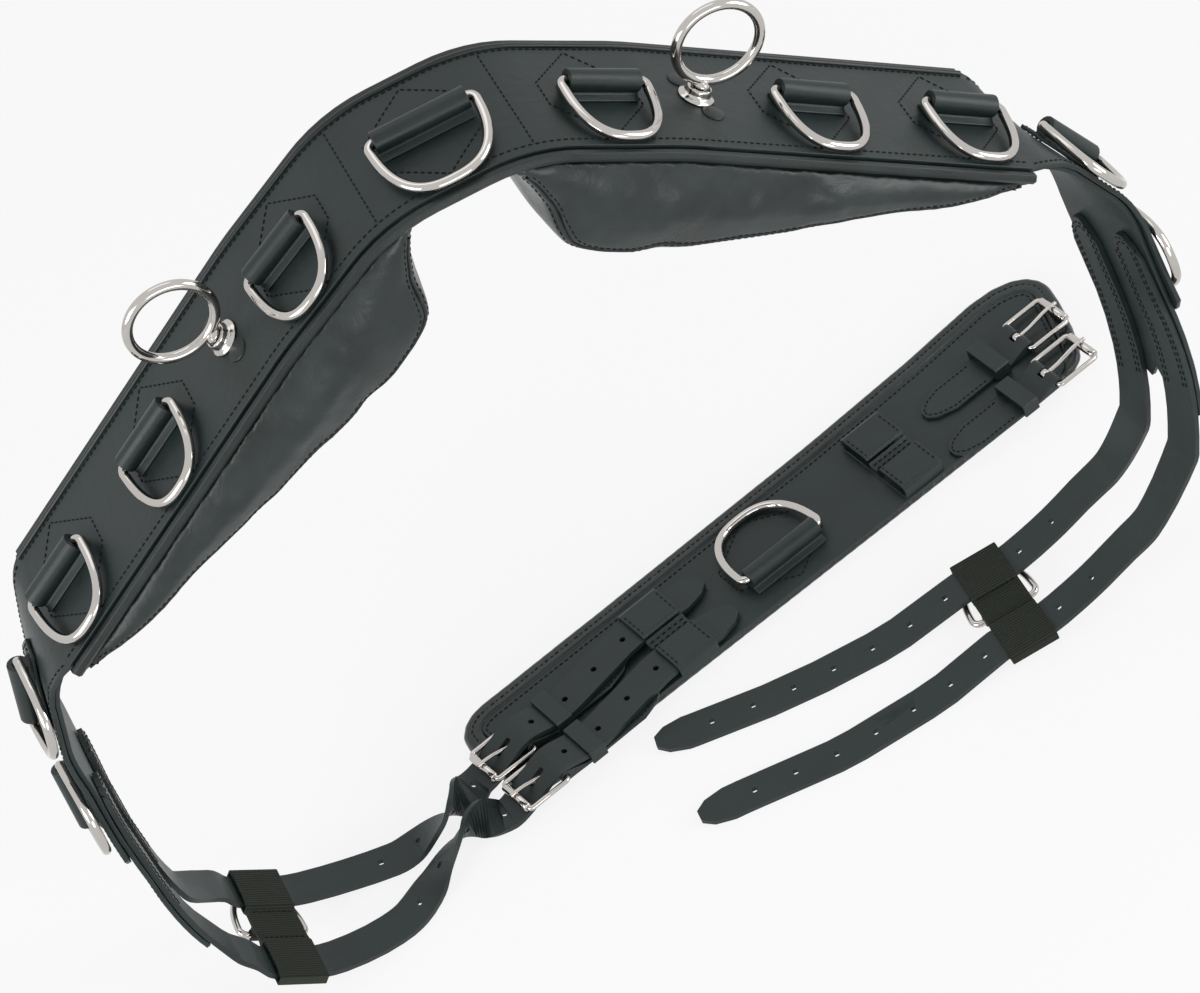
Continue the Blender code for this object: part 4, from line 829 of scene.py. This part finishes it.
def stitch_places(line, pitch, length, thick):
    """Matrices that stretch a sphere into each stitch along (point, outward) pairs."""
    gaps = [(b[0] - a[0]).length for a, b in zip(line, line[1:])]
    total = sum(gaps)
    count = max(1, int(total / pitch))
    step = total / count
    done, k, places = 0.0, 0, []
    for n in range(count):
        goal = step * (n + 0.5)
        while k < len(gaps) - 1 and done + gaps[k] < goal:
            done += gaps[k]
            k += 1
        u = min(1.0, (goal - done) / max(gaps[k], 1e-9))
        centre = line[k][0].lerp(line[k + 1][0], u)
        out = line[k][1].lerp(line[k + 1][1], u).normalized()
        run = (line[k + 1][0] - line[k][0]).normalized()
        out = (out - out.dot(run) * run).normalized()
        turn = Matrix((out.cross(run) * thick, out * thick * 0.8, run * length / 2)).transposed()
        places.append(Matrix.Translation(centre + out * thick * 0.25) @ turn.to_4x4())
    return places


def stitch_batch(places):
    """A few stitches in one mesh; the operator slows down as its bmesh grows."""
    bm = bmesh.new()
    for place in places:
        bmesh.ops.create_uvsphere(bm, u_segments=6, v_segments=5, radius=1.0, matrix=place)
    return mesh_from(bm)


def sew(name, lines, body="surcingle", pitch=0.0042, length=0.0030, thick=0.00056):
    places = [place for line in lines for place in stitch_places(line, pitch, length, thick)]
    batches = (stitch_batch(places[k:k + BATCH]) for k in range(0, len(places), BATCH))
    finish_piece(merged(batches, name), name, THREAD, body=body)
    STITCHES.append(len(places))
    print(name, len(places))


# %% Stitches of the body strap
BAND_TOP = search_tree("outer_leather")
LOW_STRAP = search_tree("outer_leather", "side_piece_left", "side_piece_right")
DEE_PLACES = {1: (0.106, 0.243, 0.346, 0.434, 0.5225), -1: (0.106, 0.243, 0.346, 0.434, 0.524)}
WIDE_END = 0.373
EDGE_ROW = 0.0440
NARROW_ROW = ((0.377, 0.0450), (0.399, 0.0390), (0.553, 0.0390))
END_ROW = (0.556, 0.036)
PAD_ROW = (0.0490, 0.043)
ROLL_END, ROLL_ACROSS, ROLL_RADIUS = 0.3735, 0.0474, 0.0019


def edge_stitches():
    """Rows along both edges, narrowing with the strap, and rows across it at four places."""
    rows = []
    for side in (-1, 1):
        rows.append([(-WIDE_END, side * EDGE_ROW), (WIDE_END, side * EDGE_ROW)])
        for end in (-1, 1):
            rows.append([(end * s, side * w) for s, w in NARROW_ROW])
    for end in (-1, 1):
        rows.append([(end * END_ROW[0], -END_ROW[1]), (end * END_ROW[0], END_ROW[1])])
        rows.append([(end * PAD_ROW[0], PAD_ROW[1]), (end * PAD_ROW[0], -PAD_ROW[1])])
    sew("edge_stitches", [dropped(BAND_TOP, strap_line(row)) for row in rows])


def edge_roll():
    """The rolled rear edge stands a little above the leather; the front one hangs below it."""
    line = strap_line([(-ROLL_END, ROLL_ACROSS), (ROLL_END, ROLL_ACROSS)])
    mesh = wire_mesh([point for point, out in dropped(BAND_TOP, line)], ROLL_RADIUS, False, 4)
    # The roll's darker leather is partly edge dye and partly painted shade along the strap's edge.
    finish_piece(mesh, "rear_edge_roll", PIPING_LEATHER)


def hexagon(s, half_s=0.029, flat_w=0.011, apex_w=0.0405):
    return [(s, apex_w), (s + half_s, flat_w), (s + half_s, -flat_w), (s, -apex_w),
            (s - half_s, -flat_w), (s - half_s, flat_w)]


def chape_stitches():
    """A row just inside the edge of each ring's leather; the lowest two are smaller patches."""
    rows = [hexagon(0.0, 0.034, 0.012, 0.0405)]
    low = []
    for side, places in DEE_PLACES.items():
        rows += [hexagon(side * (s - 0.005)) for s in places[:3]]
        low += [hexagon(side * s, 0.0270, 0.0085, 0.0325) for s in places[3:]]
    sew("chape_stitches", [dropped(BAND_TOP, strap_line(row, True)) for row in rows])
    patches = search_tree(*[n for n in nodes if n.startswith("dee_chape_") and n[-1] in "45"])
    sew("patch_stitches", [dropped(patches, strap_line(row, True)) for row in low])


# %% Stitches of the billets' roots
ROOT_MIDDLES = (-0.022, 0.022)
ROOT_ROWS = ((0.0098, 0.5030), (0.0070, 0.5060))
ROOT_END = 0.609
ARC_STEPS = 8


def root_row(middle, reach, first):
    """A long row with a round end, open where the billet leaves the strap."""
    arc = []
    for k in range(ARC_STEPS + 1):
        angle = math.pi * k / ARC_STEPS
        arc.append((first + reach * (1 - math.sin(angle)), middle + reach * math.cos(angle)))
    return [(ROOT_END, middle + reach), *arc, (ROOT_END, middle - reach)]


def root_stitches():
    """Each billet is sewn in with a double row, which also shows inside."""
    lines = [strap_line([(side * s, w) for s, w in root_row(middle, reach, first)])
             for side in (-1, 1) for middle in ROOT_MIDDLES for reach, first in ROOT_ROWS]
    sew("billet_root_stitches", [dropped(LOW_STRAP, line) for line in lines])
    inside = [[(point, -out) for point, out in line] for line in lines]
    billets = search_tree("side_piece_left", "side_piece_right",
                          *[n for n in nodes if n.startswith("billet")])
    sew("inner_root_stitches", [dropped(billets, line, 0.016) for line in inside])


edge_stitches()
edge_roll()
chape_stitches()
root_stitches()

# %% [markdown]
# ## Back pads
# The two pads are leather bags stuffed with flock. The solid gives their place; here each is
# remeshed and swollen with a short cloth simulation, held where it is sewn to the strap. Then the
# seams are pulled in, the soft creases that hang from the strap are pressed in, and a thin welt is
# laid along the seams between two rows of stitches.

# %% Pad outline in strap space
PAD_START, PAD_END, PAD_HALF = 0.026, 0.390, 0.053
PAD_DEPTHS = ((0.071, 0.055), (0.082, 0.064), (0.116, 0.073), (0.171, 0.067), (0.232, 0.052),
              (0.291, 0.033), (0.354, 0.018), (0.390, 0.010))
PAD_TOP = -0.0109
LEAN, LEAN_END = 0.045, 0.130
SEAM_LIFT, SEAM_BULGE, SEAM_FLARE = 0.9, 0.16, 0.09


def seam_place(side, start, y, depth):
    """Point of a pad's seam: start along it, y the edge, depth from 0 to 1 down."""
    lean = LEAN * max(0.0, (LEAN_END - start) / (LEAN_END - PAD_START))
    deep = float(np.interp(start + lean, [p[0] for p in PAD_DEPTHS], [p[1] for p in PAD_DEPTHS]))
    near = min(1.0, (start - PAD_START) / 0.020, (PAD_END - start) / 0.030)
    round_end = math.sqrt(max(0.0, 1 - (1 - near) ** 2))
    half = PAD_HALF * (0.90 + 0.10 * round_end) * (1 + SEAM_BULGE * depth * (1 - depth))
    height = PAD_TOP - deep * depth * SEAM_LIFT * (0.80 + 0.20 * round_end)
    across = y * half * (1 + SEAM_FLARE * depth)
    return on_strap(side * (start + lean * depth), across, height)[0]


def strap_places(points):
    """For each point: distance along the strap, across it and out of it, and those directions."""
    middles = STATIONS[:, 1:4] / 1000
    nearest = ((points[:, None, :] - middles[None]) ** 2).sum(axis=2).argmin(axis=1)
    frames = np.array([[tuple(v) for v in strap_frame(s / 1000)] for s in STATIONS[:, 0]])[nearest]
    away = points - frames[:, 0]
    along, across, out = [(away * frames[:, k]).sum(axis=1) for k in (1, 2, 3)]
    return (STATIONS[:, 0] / 1000)[nearest] + along, across, out, frames[:, 2], frames[:, 3]


# %% Read and change a mesh
def rows_of(items, what):
    values = np.empty(len(items) * 3)
    items.foreach_get(what, values)
    return values.reshape(-1, 3)


def points_of(mesh):
    return rows_of(mesh.vertices, "co")


def move_points(mesh, points):
    mesh.vertices.foreach_set("co", points.ravel())
    mesh.update()


def reworked(mesh, operator, elements, **settings):
    """Run a bmesh operator on all of a mesh's vertices or edges."""
    bm = bmesh.new()
    bm.from_mesh(mesh)
    operator(bm, **{elements: getattr(bm, elements)}, **settings)
    bm.to_mesh(mesh)
    bm.free()
    mesh.update()


def smoothed(mesh, turns):
    for turn in range(turns):
        reworked(mesh, bmesh.ops.smooth_vert, "verts", factor=0.5, use_axis_x=True,
                 use_axis_y=True, use_axis_z=True)


def subdivided(item):
    smooth = item.modifiers.new("smooth", "SUBSURF")
    smooth.levels = 1
    smooth.render_levels = 1


# %% Stuff a shape
CLOTH_FRAMES = 20


def remeshed(name, size):
    """A welded, evenly gridded copy of a solid's mesh."""
    bm = bmesh.new()
    bm.from_mesh(nodes[name].data)
    bmesh.ops.remove_doubles(bm, verts=bm.verts, dist=WELD_GAP)
    item = bpy.data.objects.new(name + "_grid", mesh_from(bm))
    bpy.context.scene.collection.objects.link(item)
    grid = item.modifiers.new("grid", "REMESH")
    grid.mode = "VOXEL"
    grid.voxel_size = size
    return settled(item)


def settled(item):
    """The mesh that an object's modifiers make; the object goes."""
    view = bpy.context.evaluated_depsgraph_get()
    mesh = bpy.data.meshes.new_from_object(item.evaluated_get(view))
    bpy.data.objects.remove(item, do_unlink=True)
    return mesh


def swollen(mesh, held, pressure, cap):
    """Blow a mesh up from inside with cloth, holding some points, and cap each point's way."""
    before = points_of(mesh)
    item = bpy.data.objects.new("stuffing", mesh)
    bpy.context.scene.collection.objects.link(item)
    group = item.vertex_groups.new(name="held")
    group.add([int(k) for k in np.nonzero(held)[0]], 1.0, "REPLACE")
    cloth = item.modifiers.new("cloth", "CLOTH")
    cloth.settings.vertex_group_mass = "held"
    cloth.settings.use_pressure = True
    cloth.settings.uniform_pressure_force = pressure
    cloth.settings.effector_weights.gravity = 0
    cloth.settings.quality = 4
    cloth.point_cache.frame_end = CLOTH_FRAMES
    for number in range(1, CLOTH_FRAMES + 1):
        bpy.context.scene.frame_set(number)
    result = settled(item)
    bpy.context.scene.frame_set(1)
    move = points_of(result) - before
    share = np.minimum(1.0, cap / np.maximum(np.linalg.norm(move, axis=1), 1e-9))
    move_points(result, before + move * share[:, None])
    return result


# %% Seams and creases of a pad
SEAM_START, SEAM_LENGTH, SEAM_STEPS = 0.004, PAD_END - PAD_START - 0.016, 70
THIN_START = 0.315
CREASE_START, CREASE_BLEND, SEAM_SPARE = 0.003, 0.012, 0.022
FOLDS = ((36, 12, 9, 0.0019), (90, 26, 20, 0.0007))


def seam_lines(side):
    """Front and rear welt of a pad: down its inner end and along its lower edge."""
    corners = [(PAD_START + SEAM_START, k / 12) for k in range(2, 12)]
    corners += [(PAD_START + SEAM_START + SEAM_LENGTH * k / SEAM_STEPS, 1.0)
                for k in range(SEAM_STEPS + 1)]
    return [[seam_place(side, s, y, d) for s, d in corners] for y in (-1, 1)]


def seam_gaps(points, lines):
    """Distance from each point to the nearest point of some lines."""
    path = np.array([tuple(p) for line in lines for p in line])
    return np.array([np.sqrt(((path - point) ** 2).sum(axis=1).min()) for point in points])


def thinned(points):
    """Draw the pad's thin end up to the strap, so that it runs out smoothly."""
    along, across, out, side_way, up_way = strap_places(points)
    share = np.clip((np.abs(along) - THIN_START) / (PAD_END - THIN_START), 0, 1) ** 1.5
    rise = np.maximum(0, PAD_TOP - out) * 0.75 * share
    return points + up_way * rise[:, None] - side_way * (across * 0.10 * share)[:, None]


def creased(points, normals, side, gaps):
    """Soft folds that hang from the strap, deepest beside it and towards the pad's thin end."""
    along, across, out = strap_places(points)[:3]
    down = np.clip((PAD_TOP - CREASE_START - out) / CREASE_BLEND, 0, 1)
    down = down * np.clip(gaps / SEAM_SPARE, 0.12, 1)
    thin = 0.6 + 0.8 * np.abs(along) / PAD_END
    lift = np.zeros(len(points))
    for k, (a, w, h) in enumerate(zip(along, across, out)):
        for long_way, down_way, cross_way, depth in FOLDS:
            spot = Vector((a * long_way, h * down_way, w * cross_way + side))
            lift[k] += noise.noise(spot) * depth
    return points + normals * (lift * down * thin)[:, None]


def eased_on(mesh, line):
    """A line laid on a mesh and smoothed, so that it runs evenly over the creases."""
    snap = mesh_tree(mesh)
    for turn in range(3):
        line = [snap.find_nearest(p)[0] for p in line]
        for again in range(6):
            inner = [(a + b * 2 + c) / 4 for a, b, c in zip(line, line[1:], line[2:])]
            line = [line[0], *inner, line[-1]]
    return line


# %% Welts and seams
WELT_RADIUS = 0.0011
WELT_PROUD = 0.0003
ROW_GAP = 0.0042


def pad_seams(name, mesh, lines):
    """The welt, a thin cord of leather, and a row of stitches on both sides of it."""
    snap = mesh_tree(mesh)
    rows = []
    for edge, line in zip("fr", lines):
        laid = [snap.find_nearest(point)[:2] for point in line]
        welt = wire_mesh([spot + out * WELT_PROUD for spot, out in laid], WELT_RADIUS, False, 3)
        finish_piece(welt, "welt_" + name + "_" + edge, PIPING_LEATHER)
        for shift in (-ROW_GAP, ROW_GAP):
            row = []
            for k, (spot, out) in enumerate(laid):
                run = (laid[min(k + 1, len(laid) - 1)][0] - laid[max(k - 1, 0)][0]).normalized()
                beside = spot + run.cross(out).normalized() * shift
                row.append(snap.find_nearest(beside)[:2])
            rows.append(row)
    sew("pad_stitches_" + name, rows, thick=0.00042)


# %% Stuff the pads
PAD_GRID = 0.0048
PAD_PRESSURE = 4.0
HELD_GAP = 0.008
MOST_SWELL = 0.0070
SEAM_DEPTH, SEAM_WIDTH = 0.0014, 0.0034


def stuffed_pad(name, side):
    mesh = remeshed("pad_" + name, PAD_GRID)
    smoothed(mesh, 4)
    base = search_tree("lining")
    gaps = np.array([base.find_nearest(Vector(p))[3] for p in points_of(mesh)])
    cap = MOST_SWELL * np.clip((gaps - 0.006) / 0.020, 0, 1)
    mesh = swollen(mesh, gaps < HELD_GAP, PAD_PRESSURE, cap)
    smoothed(mesh, 3)
    reworked(mesh, bmesh.ops.subdivide_edges, "edges", cuts=1, use_grid_fill=True, smooth=0.0)
    points = thinned(points_of(mesh))
    move_points(mesh, points)
    lines = [eased_on(mesh, line) for line in seam_lines(side)]
    gaps = seam_gaps(points, lines)
    normals = rows_of(mesh.vertex_normals, "vector")
    pulled = normals * (SEAM_DEPTH * np.exp(-(gaps / SEAM_WIDTH) ** 2))[:, None]
    move_points(mesh, creased(points, normals, side, gaps) - pulled)
    lines = [eased_on(mesh, line) for line in lines]
    item = finish_piece(mesh, "stuffed_pad_" + name, PAD_LEATHER, "pad_" + name)
    subdivided(item)
    pad_seams(name, mesh, lines)


stuffed_pad("left", -1)
stuffed_pad("right", 1)

# %% [markdown]
# ## Padded girth
# The girth's lining is turned up round a soft core and shows as two rolls beside the top leather.
# The solid is remeshed finely, the rolls are raised between their seams, and the underside is kept
# level on the floor.

# %% Girth padding
GIRTH_EDGE = ((0.491, -0.022), (0.4905, -0.013), (0.486, -0.004), (0.477, 0.003), (0.463, 0.0078),
              (0.444, 0.0092), (0.381, 0.0045), (0.289, 0.0012), (0.115, 0.0), (0.016, 0.0),
              (0.006, -0.0012), (-0.003, -0.0055), (-0.0095, -0.0125), (-0.0115, -0.022),
              (-0.0112, -0.046), (-0.0105, -0.071), (-0.007, -0.080), (0.001, -0.0855),
              (0.014, -0.087), (0.120, -0.088), (0.288, -0.0905), (0.377, -0.0915),
              (0.436, -0.0915), (0.452, -0.0895), (0.463, -0.0845), (0.4695, -0.076),
              (0.4765, -0.062), (0.4865, -0.037))
GIRTH_GRID = 0.0022
GIRTH_RIM = 0.0135
FRONT_EDGE = -0.0872
FRONT_CORNER = -0.084
ROLLS = ((0.0038, 0.0038), (0.0105, 0.0030))
ROLL_RISE = 0.0016
RIPPLE = 0.0002
ROLLED_ABOVE, FLAT_BELOW = 0.0055, 0.0008


def rim_gap(x, y):
    """Distance inwards from the girth's rear and end edges; the front edge doesn't count."""
    best = 1.0
    for (x0, y0), (x1, y1) in zip(GIRTH_EDGE, GIRTH_EDGE[1:] + GIRTH_EDGE[:1]):
        if y0 >= FRONT_EDGE or y1 >= FRONT_EDGE:
            dx, dy = x1 - x0, y1 - y0
            u = min(1.0, max(0.0, ((x - x0) * dx + (y - y0) * dy) / (dx * dx + dy * dy)))
            best = min(best, math.hypot(x - x0 - u * dx, y - y0 - u * dy))
    return best


def inset_edge(inset):
    """The girth's outline drawn in, from the right end round behind to the left end."""
    count = len(GIRTH_EDGE)
    first = max(k for k, place in enumerate(GIRTH_EDGE) if place[1] < FRONT_CORNER) + 1
    line = []
    for k in range(first, first + count):
        before, (x, y), after = [GIRTH_EDGE[n % count] for n in (k - 1, k, k + 1)]
        if y >= FRONT_CORNER:
            normal = Vector((after[1] - before[1], before[0] - after[0])).normalized()
            line.append((x - normal.x * inset, y - normal.y * inset))
    return line


def rolled(point):
    """Height that the two rolls give a point of the lining's upper side."""
    away = point - GIRTH_CORNER
    x, y = away.dot(GIRTH_LONG), away.dot(GIRTH_ACROSS)
    gap = rim_gap(x, y)
    if gap >= GIRTH_RIM:
        return 0.0
    crown = max(max(0.0, 1 - ((gap - middle) / half) ** 2) for middle, half in ROLLS)
    return ROLL_RISE * crown + noise.noise(Vector((x * 40, y * 60, 0))) * RIPPLE


def girth_padding():
    mesh = remeshed("girth_lining", GIRTH_GRID)
    smoothed(mesh, 2)
    for vert in mesh.vertices:
        z = (vert.co - GIRTH_CORNER).z
        if z > ROLLED_ABOVE:
            vert.co.z += rolled(vert.co)
        elif z < FLAT_BELOW:
            vert.co.z = max(vert.co.z, GIRTH_CORNER.z + 0.0001)
    mesh.update()
    item = finish_piece(mesh, "girth_padding", PAD_LEATHER, "girth_lining")
    subdivided(item)
    print("girth padding", len(mesh.vertices), "points")
    return mesh


girth_mesh = girth_padding()

# %% Girth stitches
RIM_ROW = 0.0074
PANEL_ROW = GIRTH_RIM + 0.0032
DEE_PATCH = ((0, 0.032), (-0.036, 0.010), (-0.036, -0.012), (0, -0.034), (0.036, -0.012),
             (0.036, 0.010))
DEE_PATCH_MIDDLE = (0.222, -0.050)
KEEPER_ENDS = ((0.117, 0.148), (0.308, 0.340))


def girth_stitches():
    sew("girth_rim_stitches", [dropped(mesh_tree(girth_mesh), girth_line(inset_edge(RIM_ROW)))])
    x, y = DEE_PATCH_MIDDLE
    lines = [girth_line(inset_edge(PANEL_ROW)),
             girth_line([(x + a, y + b) for a, b in DEE_PATCH], closed=True)]
    for low, high in KEEPER_ENDS:
        for across in (-0.0540, -0.0580):
            lines.append(girth_line([(low + 0.001, across), (high - 0.001, across)]))
        for place in (low + 0.0022, high - 0.0022):
            for middle in (-0.038, -0.074):
                lines.append(girth_line([(place, middle - 0.0115), (place, middle + 0.0115)]))
    panel = search_tree("girth_leather")
    sew("girth_stitches", [dropped(panel, line, 0.016) for line in lines])


# %% Stitches of the buckle leathers and the webbing
CHAPE_ROW = ((-0.036, 0.0100), (-0.064, 0.0100), (-0.0755, 0.0068), (-0.0810, 0.0018),
             (-0.0810, -0.0018), (-0.0755, -0.0068), (-0.064, -0.0100), (-0.036, -0.0100))


def buckle_chape_stitches():
    """Rows just inside the edges of the pointed buckle leathers."""
    lines = []
    for label, (x, y, sign) in BUCKLES.items():
        corners = [(x + sign * a, y + sign * b) for a, b in CHAPE_ROW]
        tree = search_tree("buckle_chape_" + label)
        lines.append(dropped(tree, girth_line(corners, PANEL_TOP + 0.003), 0.016))
    sew("buckle_chape_stitches", lines, pitch=0.0036, length=0.0026)


def webbing_stitches(side):
    """Two rows along each face of the webbing, close to its edges."""
    place = keeper_matrix(side)
    node = "webbing_keeper_" + side
    tree = search_tree(node)
    lines = []
    for flip in (1, -1):
        out = Vector([place[row][2] for row in range(3)]) * flip
        for across in (-0.0115, 0.0115):
            row = [(place @ Vector((-0.014 + 0.0028 * k, across, 0.002 * flip)), out)
                   for k in range(11)]
            lines.append(dropped(tree, row))
    sew("webbing_stitches_" + side, lines, BODY_OF[node], pitch=0.0034, length=0.0026,
        thick=0.0006)


girth_stitches()
buckle_chape_stitches()
for side in KEEPERS:
    webbing_stitches(side)
print("stitches", sum(STITCHES))
